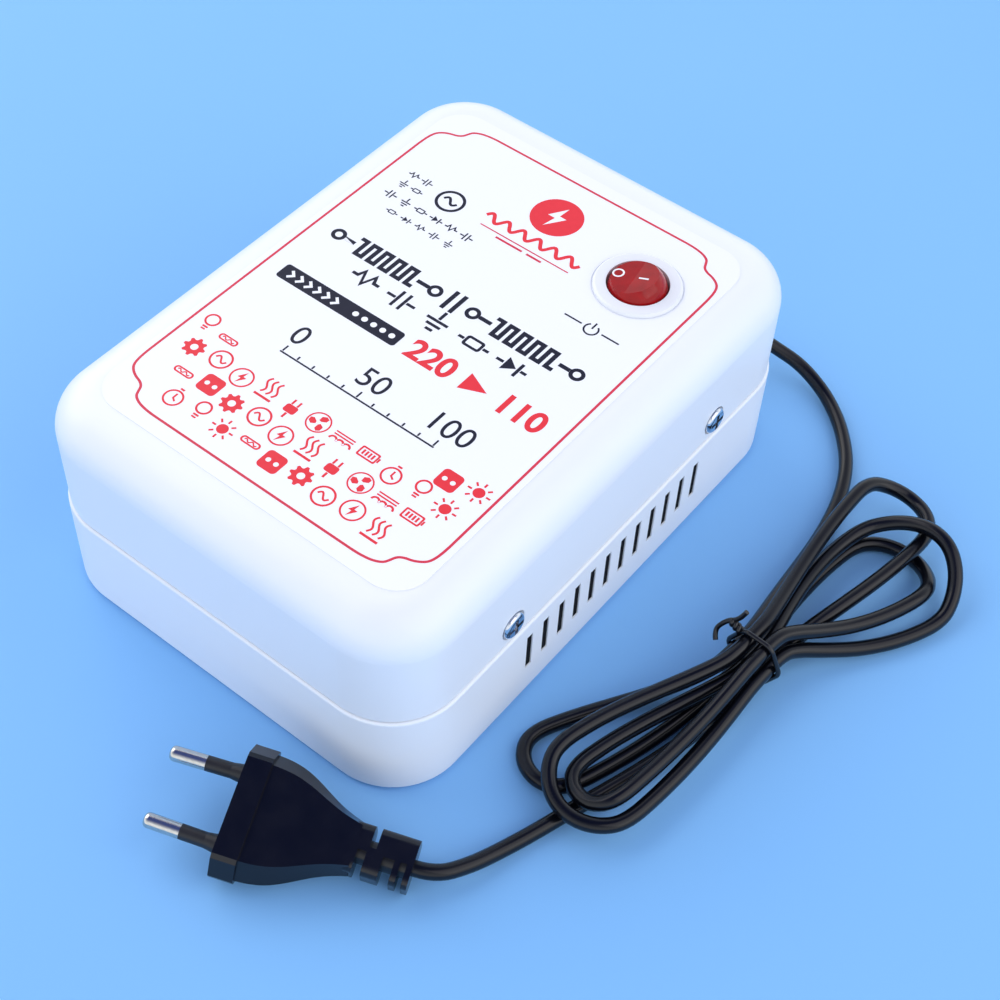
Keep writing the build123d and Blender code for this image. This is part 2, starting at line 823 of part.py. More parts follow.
def cord_gland():
    """A turned bush with a flange on each side of the wall and a short domed boot."""
    bore = cord_radius + gland_clearance
    inner_end = end_wall_inside - gland_clearance - gland_inner_flange
    outline = Polyline(
        (bore, inner_end),
        (gland_inner_radius, inner_end),
        (gland_inner_radius, end_wall_inside - gland_clearance),
        (gland_neck_radius, end_wall_inside - gland_clearance),
        (gland_neck_radius, end_wall + gland_clearance),
        (gland_flange_radius, end_wall + gland_clearance),
        (gland_flange_radius, end_wall + gland_flange),
        (gland_boot_radius, end_wall + gland_flange),
        (gland_boot_radius, gland_tip),
        (bore, gland_tip),
        close=True,
    )
    bush = revolve(make_face(outline), Axis.Y)
    rim = bush.edges().filter_by(GeomType.CIRCLE).group_by(Axis.Y)
    bush = fillet(rim[-1].sort_by(SortBy.RADIUS)[-1], gland_boot_edge)
    return Pos(cord_x, 0, cord_exit_height) * bush


cord_inner_end = end_wall_inside - cord_inside_length


def cord_inlet():
    start = (cord_x, cord_inner_end, cord_exit_height)
    return rod(start, (0, 1, 0), cord_radius, gland_tip - cord_inner_end)


clamp_y = end_wall_inside - clamp_offset


def clamp_seat():
    """The block on the floor that the cord is clamped to."""
    half = clamp_width / 2
    top = cord_exit_height - clamp_split / 2
    y0 = clamp_y - clamp_length / 2
    y1 = clamp_y + clamp_length / 2
    seat = box(cord_x - half, cord_x + half, y0, y1, post_foot, top)
    seat -= cord_groove()
    for x in clamp_screw_places():
        bottom = cord_exit_height + clamp_split / 2 + clamp_bar_height - clamp_screw_length - fixed_clearance
        seat -= rod((x, clamp_y, bottom), (0, 0, 1), clamp_screw_radius + fixed_clearance, clamp_screw_length)
    return seat


def cord_groove():
    """The room for the cord in its clamp."""
    start = (cord_x, clamp_y - clamp_length, cord_exit_height)
    return rod(start, (0, 1, 0), cord_radius + fixed_clearance, 2 * clamp_length)


def clamp_screw_places():
    """The X of each clamp screw."""
    return (cord_x - clamp_screw_spread / 2, cord_x + clamp_screw_spread / 2)


clamp_top = cord_exit_height + clamp_split / 2 + clamp_bar_height


def cord_clamp():
    half = clamp_width / 2
    y0 = clamp_y - clamp_length / 2
    y1 = clamp_y + clamp_length / 2
    bar = box(cord_x - half, cord_x + half, y0, y1, cord_exit_height + clamp_split / 2, clamp_top)
    bar = fillet(bar.edges().filter_by(Axis.Y).group_by(Axis.Z)[-1], clamp_bar_edge)
    bar -= cord_groove()
    for x in clamp_screw_places():
        hole = clamp_screw_radius + fixed_clearance
        bar -= rod((x, clamp_y, cord_exit_height), (0, 0, 1), hole, clamp_screw_length)
    return bar


def clamp_screws():
    screws = []
    for x in clamp_screw_places():
        seat = (x, clamp_y, clamp_top + fixed_clearance)
        head = (clamp_head_radius, clamp_head_height, clamp_head_edge)
        screws.append(pan_screw(seat, (0, 0, 1), *head, clamp_screw_radius, clamp_screw_length))
    return Compound(screws)


def rounded_route(points):
    """A path of straight runs with an arc at each point, as large as the runs beside it allow."""
    radii = []
    for before, here, after in zip(points, points[1:], points[2:]):
        first = Vector(*here) - Vector(*before)
        second = Vector(*after) - Vector(*here)
        turn = radians(first.get_angle(second))
        radii.append(bend_share * min(first.length, second.length) / tan(turn / 2))
    return FilletPolyline(*points, radius=radii), radii


def tube(points, radius):
    """A round tube along a rounded route."""
    path, radii = rounded_route(points)
    section = Plane(origin=path @ 0, z_dir=path % 0) * Circle(radius)
    return sweep(section, path=path), path, min(radii)


def cord_tube(points, name):
    """A length of the cord, with its measures printed."""
    cord, path, least_radius = tube(points, cord_radius)
    ratio = cord.volume / (pi * cord_radius ** 2 * path.length)
    print(f"{name}: length {path.length:.1f}, volume ratio {ratio:.4f}, least radius {least_radius:.1f}")
    return cord


# Each strand's place in the waist as steps across and up, in the order in which the cord passes
waist_rows = ((-1, 0), (-0.5, -1), (0.5, 1), (0, 0), (1, 0), (-0.5, 1), (0.5, -1))


def smooth(share):
    """Rises gently from 0 to 1."""
    share = min(max(share, 0.0), 1.0)
    return share * share * (3 - 2 * share)


def waist_direction(end):
    """The way a strand leaves the waist at one end."""
    angle = radians(hank_turn)
    return (end * sin(angle), end * cos(angle))


def waist_point(place, along):
    """A point on a strand in the waist."""
    across = place[0] * strand_pitch
    toward_x, toward_y = waist_direction(1)
    x = hank_x + across * toward_y + along * toward_x
    y = hank_y - across * toward_x + along * toward_y
    return (x, y, hank_height + place[1] * strand_pitch)


def strand_points(start, corner, leave, arrive):
    """The points between the waist and a loop's round end, with the change of height near the waist."""
    length = dist(start[:2], corner[:2])
    controls = (
        (start[0], start[1]),
        (start[0] + leave[0] * length * leave_share, start[1] + leave[1] * length * leave_share),
        (corner[0] - arrive[0] * length * arrive_share, corner[1] - arrive[1] * length * arrive_share),
        (corner[0], corner[1]),
    )
    count = max(2, round(length / strand_run))
    points = []
    for i in range(1, count):
        t = i / count
        weights = ((1 - t) ** 3, 3 * t * (1 - t) ** 2, 3 * t * t * (1 - t), t ** 3)
        x = sum(weight * control[0] for weight, control in zip(weights, controls))
        y = sum(weight * control[1] for weight, control in zip(weights, controls))
        change = smooth(t * length / height_run)
        points.append((x, y, start[2] + (corner[2] - start[2]) * change))
    return points


def lobe(first, last, loop, end):
    """A loop from one strand of the waist to the next, with a half-round end."""
    x, y, radius, turn, layers = loop
    away = atan2(y - hank_y, x - hank_x)
    arrive = (cos(away), sin(away))
    leave = waist_direction(end)
    first_height, end_height, last_height = [loop_rest_height + layer * strand_pitch for layer in layers]
    steps = round(pi * radius / arc_run)
    corner_radius = radius / cos(pi / steps / 2)
    arc = []
    for i in range(steps):
        share = (i + 0.5) / steps
        angle = away + turn * pi * (share - 0.5)
        if share < 0.5:
            height = first_height + (end_height - first_height) * smooth(2 * share)
        else:
            height = end_height + (last_height - end_height) * smooth(2 * share - 1)
        arc.append((x + corner_radius * cos(angle), y + corner_radius * sin(angle), height))
    start = waist_point(first, end * waist_half_length)
    finish = waist_point(last, end * waist_half_length)
    out = strand_points(start, arc[0], leave, arrive)
    back = strand_points(finish, arc[-1], leave, arrive)
    return out + arc + back[::-1]


def hank_route():
    """The cord's way from the middle of its first strand in the waist to the middle of the last."""
    points = [waist_point(waist_rows[0], 0)]
    for i, place in enumerate(waist_rows):
        end = 1 if i % 2 else -1
        if i > 0:
            points.append(waist_point(place, -end * waist_half_length))
        if i < len(waist_rows) - 1:
            points.append(waist_point(place, end * waist_half_length))
            loop = upper_loops[i // 2] if i % 2 else lower_loops[i // 2]
            points += lobe(place, waist_rows[i + 1], loop, end)
    points.append(waist_point(waist_rows[-1], 0))
    return points


def hank_gap(path):
    """The least gap between the hank's strands, measured on points along its path."""
    count = round(path.length / gap_step)
    places = [tuple(path @ (i / count)) for i in range(count + 1)]
    apart = round(gap_reach / gap_step)
    least = min(dist(places[i], places[j]) for i in range(count) for j in range(i + apart, count + 1))
    return least - 2 * cord_radius


def cord_lead():
    start = (cord_x, gland_tip, cord_exit_height)
    waist = [waist_point(waist_rows[0], along) for along in (waist_half_length, 0)]
    return cord_tube([start, *lead_route, *waist], "lead")


def cord_hank():
    points = hank_route()
    print(f"hank: least gap {hank_gap(rounded_route(points)[0]):.2f}")
    return cord_tube(points, "hank")


def cord_tail():
    waist = [waist_point(waist_rows[-1], -along) for along in (0, waist_half_length)]
    plug_end = [tuple(plug_plane.from_local_coords((0, 0, plug_length + out))) for out in (cord_straight, 0)]
    return cord_tube([*waist, *tail_route, *plug_end], "tail")


def cord_tie():
    """A ring round the waist and its two twisted ends."""
    toward = (*waist_direction(1), 0)
    middle = Plane(origin=(hank_x, hank_y, hank_height), x_dir=(0, 0, 1), z_dir=toward)
    band = Circle(tie_inner_radius + tie_thickness) - Circle(tie_inner_radius)
    ring = extrude(middle * band, tie_width / 2, both=True)
    for side in (1, -1):
        local = [(place[0], place[1], side * place[2]) for place in tie_end_places]
        ring += tube([tuple(middle.from_local_coords(place)) for place in local], tie_end_radius)[0]
    return ring


level_plug = Plane(
    origin=(plug_x, plug_y, plug_face_height),
    x_dir=(-sin(radians(plug_angle)), cos(radians(plug_angle)), 0),
    z_dir=(cos(radians(plug_angle)), sin(radians(plug_angle)), 0),
)
plug_plane = Plane(level_plug * Rot(plug_dip, 0, 0) * Rot(0, 0, plug_roll))


def plug_section(place, width, height):
    """The plug's six-sided outline at a distance behind its face."""
    flat = width * plug_top_width / plug_width
    outline = Polyline(
        (width / 2, 0),
        (flat / 2, height / 2),
        (-flat / 2, height / 2),
        (-width / 2, 0),
        (-flat / 2, -height / 2),
        (flat / 2, -height / 2),
        close=True,
    )
    return Pos(0, 0, place) * make_face(outline)


def plug_slot(side, start, length):
    """A slot across the neck from one side, as deep as the cord's sleeve allows."""
    outer = side * (plug_neck_width / 2 + cut_overrun)
    half = plug_neck_height / 2 + cut_overrun
    cutter = box(side * plug_slot_reach, outer, -half, half, start, start + length)
    return cutter - extrude(Pos(0, 0, start) * Circle(plug_core_radius), length)


def pin_planes():
    """Each pin's frame at the plug's face, pointing out of it."""
    toe = radians(pin_toe)
    frames = []
    for side in (1, -1):
        out = (-side * sin(toe), 0, -cos(toe))
        frames.append(Plane(origin=(side * pin_spacing / 2, 0, 0), x_dir=(0, 1, 0), z_dir=out))
    return frames


def plug_body():
    flange = extrude(plug_section(0, plug_width, plug_height), plug_flange_length)
    body = chamfer(flange.edges().filter_by(Axis.Z), plug_edge)
    sections = []
    shares = zip(plug_taper_shares, plug_width_shares, plug_height_shares)
    for share, width_share, height_share in shares:
        width = (plug_width - 2 * plug_step) * width_share
        height = (plug_height - 2 * plug_step) * height_share
        sections.append(plug_section(plug_flange_length + plug_taper_length * share, width, height))
    body += loft(sections)
    neck_start = plug_flange_length + plug_taper_length - plug_neck_lap
    neck = RectangleRounded(plug_neck_width, plug_neck_height, plug_neck_corner)
    body += extrude(Pos(0, 0, neck_start) * neck, plug_length - neck_start)
    for side, start, length in plug_slots:
        body -= plug_slot(side, start, length)
    room = fixed_clearance
    body -= box(
        -(bridge_width / 2 + room),
        bridge_width / 2 + room,
        -(bridge_height / 2 + room),
        bridge_height / 2 + room,
        bridge_start - room,
        bridge_start + bridge_length + room,
    )
    for frame in pin_planes():
        body -= extrude(frame * Circle(pin_neck_radius + room), -bridge_start - cut_overrun)
        body -= extrude(frame * Circle(pin_neck_radius + room), cut_overrun)
    return plug_plane * body


def plug_bridge():
    """The moulded block that holds the pins' roots."""
    block = box(
        -bridge_width / 2,
        bridge_width / 2,
        -bridge_height / 2,
        bridge_height / 2,
        bridge_start,
        bridge_start + bridge_length,
    )
    for frame in pin_planes():
        block -= extrude(frame * Circle(pin_neck_radius + fixed_clearance), -(pin_root + fixed_clearance))
    return plug_plane * block


def plug_pins():
    pins = []
    for frame in pin_planes():
        neck_length = pin_length - pin_tip_length
        pin = extrude(Pos(0, 0, -pin_root) * Circle(pin_neck_radius), pin_root + neck_length)
        tip = extrude(Pos(0, 0, neck_length) * Circle(pin_radius), pin_tip_length)
        pin += fillet(top_face_edges(tip), pin_tip_edge)
        pins.append(plug_plane * frame * pin)
    return Compound(pins)


def plug_pin_sleeves():
    """The insulating sleeve on each pin, flared where it meets the face."""
    bore = pin_neck_radius + sleeve_clearance
    outline = Polyline(
        (bore, sleeve_face_gap),
        (pin_sleeve_flare, sleeve_face_gap),
        (pin_sleeve_radius, pin_flare_length),
        (pin_sleeve_radius, pin_length - pin_tip_length - sleeve_clearance),
        (bore, pin_length - pin_tip_length - sleeve_clearance),
        close=True,
    )
    sleeve = revolve(Plane.XZ * make_face(outline), Axis.Z)
    return Compound([plug_plane * frame * sleeve for frame in pin_planes()])


socket_bottom = -(switch_bore_depth + switch_base + blade_length + socket_floor)


def switch_sockets():
    """Insulated push-on sockets over the two blades that carry current."""
    sockets = []
    for x in (0, -blade_offset):
        half_x = socket_thickness / 2
        half_y = socket_width / 2
        top = socket_bottom + socket_length
        block = box(x - half_x, x + half_x, -half_y, half_y, socket_bottom, top)
        block = fillet(block.edges().filter_by(Axis.Z), socket_edge)
        hole_x = blade_thickness / 2 + fixed_clearance
        hole_y = blade_width / 2 + fixed_clearance
        floor = socket_bottom + socket_floor - fixed_clearance
        block -= box(x - hole_x, x + hole_x, -hole_y, hole_y, floor, top + cut_overrun)
        sockets.append(switch_plane * block)
    return Compound(sockets)


wire_end = core_y + tape_side + wire_end_gap
cord_wire_start = cord_inner_end - wire_end_gap


def blade_wire_end(x, drop):
    """A point under a blade's socket."""
    return tuple(switch_plane.from_local_coords((x, 0, socket_bottom - drop)))


def wire(points):
    return tube(points, wire_radius)[0]


def line_wire():
    x = cord_x - wire_pair_offset
    return wire([
        (x, cord_wire_start, cord_exit_height),
        (x, cord_wire_start - wire_lead, cord_exit_height),
        *line_wire_route,
        blade_wire_end(0, wire_lead),
        blade_wire_end(0, wire_end_gap),
    ])


def neutral_wire():
    x = cord_x + wire_pair_offset
    return wire([
        (x, cord_wire_start, cord_exit_height),
        (x, cord_wire_start - wire_lead, cord_exit_height),
        *neutral_wire_route,
        (neutral_wire_route[-1][0] - wire_pair_offset, wire_end, wire_height),
    ])


def switched_wire():
    return wire([
        blade_wire_end(-blade_offset, wire_end_gap),
        blade_wire_end(-blade_offset, wire_lead),
        *switched_wire_route,
        (switched_wire_route[-1][0] - wire_pair_offset, wire_end, wire_height),
    ])


def output_wire(side, route):
    start = (side * outlet_slot_spacing / 2, 0, contact_tail_end - wire_end_gap)
    x, y, z = outlet_plane.from_local_coords(start)
    return wire([
        (x, y, z),
        (x, y - wire_lead, z),
        *route,
        (route[-1][0] + wire_pair_offset, wire_end, wire_height),
    ])


def build():
    nodes = {
        "upper_case": upper_case(),
        "lower_case": lower_case(),
        "rubber_feet": rubber_feet(),
        "vent_screens": vent_screens(),
        "top_label": top_label(),
        "case_screws": case_screws(),
        "switch_body": switch_body(),
        "switch_rocker": switch_rocker(),
        "switch_plunger": switch_plunger(),
        "switch_spring": switch_spring(),
        "switch_contact_lever": switch_contact_lever(),
        "switch_terminals": switch_terminals(),
        "switch_lamp": switch_lamp(),
        "transformer_core": transformer_core(),
        "transformer_bobbin": transformer_bobbin(),
        "transformer_winding": transformer_winding(),
        "winding_tape": winding_tape(),
        "transformer_bolts": transformer_bolts(),
        "thermal_cutout": thermal_cutout(),
        "outlet_face": outlet_face(),
        "outlet_back": outlet_back(),
        "outlet_live_contact": outlet_contact(1),
        "outlet_neutral_contact": outlet_contact(-1),
        "cord_gland": cord_gland(),
        "cord_inlet": cord_inlet(),
        "cord_clamp": cord_clamp(),
        "clamp_screws": clamp_screws(),
        "cord_lead": cord_lead(),
        "cord_hank": cord_hank(),
        "cord_tail": cord_tail(),
        "cord_tie": cord_tie(),
        "plug_body": plug_body(),
        "plug_bridge": plug_bridge(),
        "plug_pins": plug_pins(),
        "plug_pin_sleeves": plug_pin_sleeves(),
        "switch_sockets": switch_sockets(),
        "line_wire": line_wire(),
        "neutral_wire": neutral_wire(),
        "switched_wire": switched_wire(),
        "output_live_wire": output_wire(1, output_live_route),
        "output_neutral_wire": output_wire(-1, output_neutral_route),
    }
    os.makedirs("parts", exist_ok=True)
    for node, shape in nodes.items():
        export_step(shape, f"parts/{node}.step")


if __name__ == "__main__":
    build()
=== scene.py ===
import json
from math import atan2, cos, hypot, pi, radians, sin, sqrt

import bmesh
import bpy
from mathutils import Matrix, Vector


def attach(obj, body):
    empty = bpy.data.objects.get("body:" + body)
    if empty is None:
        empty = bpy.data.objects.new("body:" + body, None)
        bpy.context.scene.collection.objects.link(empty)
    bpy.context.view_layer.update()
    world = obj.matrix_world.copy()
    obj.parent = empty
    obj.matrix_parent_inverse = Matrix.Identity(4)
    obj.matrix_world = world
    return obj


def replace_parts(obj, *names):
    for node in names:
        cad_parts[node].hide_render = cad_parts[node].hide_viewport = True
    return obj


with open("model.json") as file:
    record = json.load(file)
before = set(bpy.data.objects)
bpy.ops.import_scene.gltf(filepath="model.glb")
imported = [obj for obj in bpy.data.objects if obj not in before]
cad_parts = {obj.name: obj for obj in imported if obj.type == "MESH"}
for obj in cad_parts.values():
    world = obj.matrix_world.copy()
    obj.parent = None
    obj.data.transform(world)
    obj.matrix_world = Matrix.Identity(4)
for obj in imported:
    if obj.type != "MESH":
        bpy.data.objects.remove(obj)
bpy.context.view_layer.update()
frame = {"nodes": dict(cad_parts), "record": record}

MM = 0.001


def place(x, y, z):
    """A point given in millimetres, in metres."""
    return Vector((x, y, z)) * MM


def stand(thing):
    """Puts a new object into the scene."""
    bpy.context.scene.collection.objects.link(thing)
    return thing


# Camera: where the photograph was taken from, with the lens and the small roll that it shows
view_azimuth = radians(35.852)
view_elevation = radians(50.737)
view_roll = radians(3.2237)
view_lens = 64.82
view_distance = 466.545
view_target = place(37.079, -17.299, 40.0)


def set_camera():
    back = Vector((
        sin(view_azimuth) * cos(view_elevation),
        -cos(view_azimuth) * cos(view_elevation),
        sin(view_elevation),
    ))
    right = (-back).cross(Vector((0, 0, 1))).normalized()
    up = back.cross(right)
    rolled_right = right * cos(view_roll) + up * sin(view_roll)
    rolled_up = up * cos(view_roll) - right * sin(view_roll)
    lens = bpy.data.cameras.new("photo_camera")
    lens.lens = view_lens
    camera = stand(bpy.data.objects.new("photo_camera", lens))
    turn = Matrix((rolled_right, rolled_up, back)).transposed().to_4x4()
    camera.matrix_world = Matrix.Translation(view_target + back * view_distance * MM) @ turn
    bpy.context.scene.camera = camera


set_camera()

# Cord: the same route as the solid's, from the gland through the hank to the plug
cord_radius = 2.1
gland_tip = (38.0, 91.1, 15.0)
hank_x = 106.7
hank_y = 4.5
hank_height = 8.9
hank_turn = radians(3.0)
strand_pitch = 5.1
loop_rest_height = 2.15
waist_half_length = 6.0
arc_run = 6.5
strand_run = 9.5
height_run = 36.0
leave_share = 0.12
arrive_share = 0.45
lead_route = (
    (38.0, 96.6, 15.0),
    (41.8, 101.6, 13.0),
    (49.5, 104.2, 9.0),
    (57.0, 105.6, 6.6),
    (64.5, 104.6, 4.2),
    (72.0, 101.4, 2.6),
    (80.5, 94.5, 2.15),
    (88.8, 84.0, 2.15),
    (94.2, 71.0, 2.15),
    (97.0, 56.5, 2.15),
    (98.2, 42.0, 2.5),
    (99.8, 28.0, 5.9),
)
tail_route = (
    (107.9, -14.0, 3.0),
    (105.6, -25.0, 2.2),
    (102.5, -37.0, 2.15),
    (98.8, -49.0, 2.15),
    (95.0, -60.0, 2.15),
    (91.6, -71.0, 2.15),
    (88.4, -80.4, 2.6),
    (85.8, -88.6, 4.3),
)
lower_loops = (
    (83.2, -48.8, 9.2, 1, (0, 0, 0)),
    (97.6, -50.4, 7.6, -1, (1.8, 1, 1)),
    (97.0, -50.6, 13.0, -1, (1, 1, 1.8)),
)
upper_loops = (
    (118.0, 53.0, 13.0, -1, (0, 0, 1)),
    (121.3, 52.8, 17.0, -1, (1, 2.1, 0)),
    (110.6, 69.0, 11.0, -1, (2.1, 1, 1)),
)
waist_rows = ((-1, 0), (-0.5, -1), (0.5, 1), (0, 0), (1, 0), (-0.5, 1), (0.5, -1))

# Plug: its frame, with z from the face towards the cord
plug_spot = Vector((33.4, -116.4, 10.62))
plug_angle = radians(22.4)
plug_dip = radians(5.4)
plug_roll = radians(16.0)
plug_length = 46.7
cord_straight = 5.5
plug_level = Matrix((
    (-sin(plug_angle), 0, cos(plug_angle)),
    (cos(plug_angle), 0, sin(plug_angle)),
    (0, 1, 0),
)).to_4x4()
plug_tilt = Matrix.Rotation(plug_dip, 4, "X") @ Matrix.Rotation(plug_roll, 4, "Z")
plug_frame = Matrix.Translation(plug_spot) @ plug_level @ plug_tilt


def smooth(share):
    """Rises gently from 0 to 1."""
    share = min(max(share, 0.0), 1.0)
    return share * share * (3 - 2 * share)


def waist_direction(end):
    """The way a strand leaves the waist at one end."""
    return (end * sin(hank_turn), end * cos(hank_turn))


def waist_point(place, along):
    """A point on a strand in the waist."""
    across = place[0] * strand_pitch
    toward_x, toward_y = waist_direction(1)
    x = hank_x + across * toward_y + along * toward_x
    y = hank_y - across * toward_x + along * toward_y
    return (x, y, hank_height + place[1] * strand_pitch)


def strand_points(start, corner, leave, arrive):
    """The points between the waist and a loop's round end, with the change of height near the waist."""
    length = hypot(corner[0] - start[0], corner[1] - start[1])
    controls = (
        (start[0], start[1]),
        (start[0] + leave[0] * length * leave_share, start[1] + leave[1] * length * leave_share),
        (corner[0] - arrive[0] * length * arrive_share, corner[1] - arrive[1] * length * arrive_share),
        (corner[0], corner[1]),
    )
    count = max(2, round(length / strand_run))
    points = []
    for i in range(1, count):
        t = i / count
        weights = ((1 - t) ** 3, 3 * t * (1 - t) ** 2, 3 * t * t * (1 - t), t ** 3)
        x = sum(weight * control[0] for weight, control in zip(weights, controls))
        y = sum(weight * control[1] for weight, control in zip(weights, controls))
        change = smooth(t * length / height_run)
        points.append((x, y, start[2] + (corner[2] - start[2]) * change))
    return points


def lobe(first, last, loop, end):
    """A loop from one strand of the waist to the next, with a half-round end."""
    x, y, radius, turn, layers = loop
    away = atan2(y - hank_y, x - hank_x)
    arrive = (cos(away), sin(away))
    leave = waist_direction(end)
    first_height, end_height, last_height = [loop_rest_height + layer * strand_pitch for layer in layers]
    steps = round(pi * radius / arc_run)
    corner_radius = radius / cos(pi / steps / 2)
    arc = []
    for i in range(steps):
        share = (i + 0.5) / steps
        angle = away + turn * pi * (share - 0.5)
        if share < 0.5:
            height = first_height + (end_height - first_height) * smooth(2 * share)
        else:
            height = end_height + (last_height - end_height) * smooth(2 * share - 1)
        arc.append((x + corner_radius * cos(angle), y + corner_radius * sin(angle), height))
    start = waist_point(first, end * waist_half_length)
    finish = waist_point(last, end * waist_half_length)
    out = strand_points(start, arc[0], leave, arrive)
    back = strand_points(finish, arc[-1], leave, arrive)
    return out + arc + back[::-1]


def hank_route():
    """The cord's way from the middle of its first strand in the waist to the middle of the last."""
    points = [waist_point(waist_rows[0], 0)]
    for i, place in enumerate(waist_rows):
        end = 1 if i % 2 else -1
        if i > 0:
            points.append(waist_point(place, -end * waist_half_length))
        if i < len(waist_rows) - 1:
            points.append(waist_point(place, end * waist_half_length))
            loop = upper_loops[i // 2] if i % 2 else lower_loops[i // 2]
            points += lobe(place, waist_rows[i + 1], loop, end)
    points.append(waist_point(waist_rows[-1], 0))
    return points


def plug_point(x, y, z):
    """A point in the plug's frame, in the model's."""
    return tuple(plug_frame @ Vector((x, y, z)))


def cord_route():
    """The whole cord: out of the gland, through the hank and into the plug."""
    first = waist_point(waist_rows[0], waist_half_length)
    last = waist_point(waist_rows[-1], -waist_half_length)
    hank = hank_route()[1:-1]
    plug_end = [plug_point(0, 0, plug_length + out) for out in (cord_straight, 0)]
    return [gland_tip, *lead_route, first, *hank, last, *tail_route, *plug_end]


def linear(colour):
    """An sRGB hex colour as linear light."""
    channels = [int(colour[i:i + 2], 16) / 255 for i in (1, 3, 5)]
    return (*[c / 12.92 if c <= 0.04045 else ((c + 0.055) / 1.055) ** 2.4 for c in channels], 1.0)


def per_metre(size):
    """The scale of a pattern whose parts are of a size in millimetres."""
    return 1 / (size * MM)


def add(tree, kind, inputs=(), **settings):
    """Adds a node with its settings, its numbers and its links."""
    node = tree.nodes.new(kind)
    for name, value in settings.items():
        setattr(node, name, value)
    for name, value in dict(inputs).items():
        if isinstance(value, bpy.types.NodeSocket):
            tree.links.new(value, node.inputs[name])
        else:
            node.inputs[name].default_value = value
    return node


def start_finish(name):
    """An empty material, its node tree, and the place on the piece that its patterns follow."""
    material = bpy.data.materials.new(name)
    material.use_nodes = True
    tree = material.node_tree
    tree.nodes.clear()
    spot = add(tree, "ShaderNodeTexCoord").outputs["Object"]
    return material, tree, spot


def dress(tree, inputs):
    """The shader of a finish, with its output."""
    shader = add(tree, "ShaderNodeBsdfPrincipled", inputs)
    add(tree, "ShaderNodeOutputMaterial", {"Surface": shader.outputs["BSDF"]})


# Where a pattern's values begin and end for the roughness
drift_low = 0.2
drift_high = 0.8


def shaded(tree, pattern, colour, deep_colour, gloss):
    """The drift of colour and roughness that follows a pattern, for the shader."""
    shade = add(tree, "ShaderNodeMix", {
        0: pattern, 6: linear(colour), 7: linear(deep_colour),
    }, data_type="RGBA")
    rough = add(tree, "ShaderNodeMapRange", {
        "Value": pattern, "From Min": drift_low, "From Max": drift_high,
        "To Min": gloss[0], "To Max": gloss[1],
    }, interpolation_type="SMOOTHSTEP")
    return {"Base Color": shade.outputs[2], "Roughness": rough.outputs["Result"]}


def relief(tree, height, depth):
    """The shader's normal for a pattern that stands up by millimetres."""
    bump = add(tree, "ShaderNodeBump", {"Strength": 1.0, "Distance": depth * MM, "Height": height})
    return bump.outputs["Normal"]


def moulded(name, colour, deep_colour, gloss, grain, depth, patch, ior, **more):
    """Plastic or rubber from a mould: a grain from the tool, and a slow drift of shade and gloss.

    The grain's size and depth, and the size of the drift's patches, are in millimetres.
    """
    material, tree, spot = start_finish(name)
    slow = add(tree, "ShaderNodeTexNoise", {"Vector": spot, "Scale": per_metre(patch), "Detail": 3.0})
    fine = add(tree, "ShaderNodeTexNoise", {"Vector": spot, "Scale": per_metre(grain), "Detail": 4.0})
    look = shaded(tree, slow.outputs["Fac"], colour, deep_colour, gloss)
    dress(tree, {**look, "Normal": relief(tree, fine.outputs["Fac"], depth), "IOR": ior, **more})
    return material


def worked_metal(name, colour, deep_colour, gloss, line, depth, stretch):
    """Bare or plated metal: fine lines from its working, drawn out one way."""
    material, tree, spot = start_finish(name)
    lie = add(tree, "ShaderNodeMapping", {"Vector": spot, "Scale": stretch})
    lines = add(tree, "ShaderNodeTexNoise", {
        "Vector": lie.outputs["Vector"], "Scale": per_metre(line), "Detail": 5.0,
    })
    look = shaded(tree, lines.outputs["Fac"], colour, deep_colour, gloss)
    dress(tree, {**look, "Normal": relief(tree, lines.outputs["Fac"], depth), "Metallic": 1.0})
    return material


def layered(name, colour, deep_colour, gloss, pitch, depth, direction, metallic):
    """Layers or turns lying side by side, with a groove between each and the next."""
    material, tree, spot = start_finish(name)
    bands = add(tree, "ShaderNodeTexWave", {
        "Vector": spot, "Scale": per_metre(pitch) * pi / 10, "Distortion": 0.4, "Detail Scale": 2.0,
    }, bands_direction=direction)
    look = shaded(tree, bands.outputs["Fac"], deep_colour, colour, gloss)
    dress(tree, {**look, "Normal": relief(tree, bands.outputs["Fac"], depth), "Metallic": metallic})
    return material


# Moulded ABS, polished tool: bright white with a soft gloss and a faint orange peel about 1.6 mm across
white_abs = moulded("polished_white_abs", "#EDF0F5", "#E8ECF2", (0.29, 0.35), 1.6, 0.010, 60.0, 1.53)
# Polyester film with a clear laminate: a shade whiter than the case, and lies with a slight wave
label_film = moulded("laminated_polyester_film", "#F1F3F8", "#EEF1F6", (0.30, 0.36), 9.0, 0.020, 45.0, 1.50)
# Moulded nylon, polished: the switch's bezel, a little creamier than the case and glossy
bezel_nylon = moulded("polished_white_nylon", "#ECEEF2", "#E2E6EC", (0.18, 0.26), 0.9, 0.004, 20.0, 1.53)
# Clear red polycarbonate: light goes in and comes back deep red, with a glossy skin
red_lens = moulded(
    "clear_red_polycarbonate", "#D20C14", "#960409", (0.05, 0.10), 2.5, 0.010, 4.0, 1.36,
    **{"Transmission Weight": 0.35},
)
# Moulded black nylon: satin, with a fine spark-eroded grain 0.35 mm across
black_nylon = moulded("satin_black_nylon", "#0B0B10", "#101116", (0.38, 0.48), 0.35, 0.012, 8.0, 1.53)
# Moulded phenolic outlet: nearly black, dull, with a slightly coarser grain
outlet_plastic = moulded("black_moulded_outlet", "#141518", "#1C1D21", (0.45, 0.58), 0.5, 0.015, 9.0, 1.55)
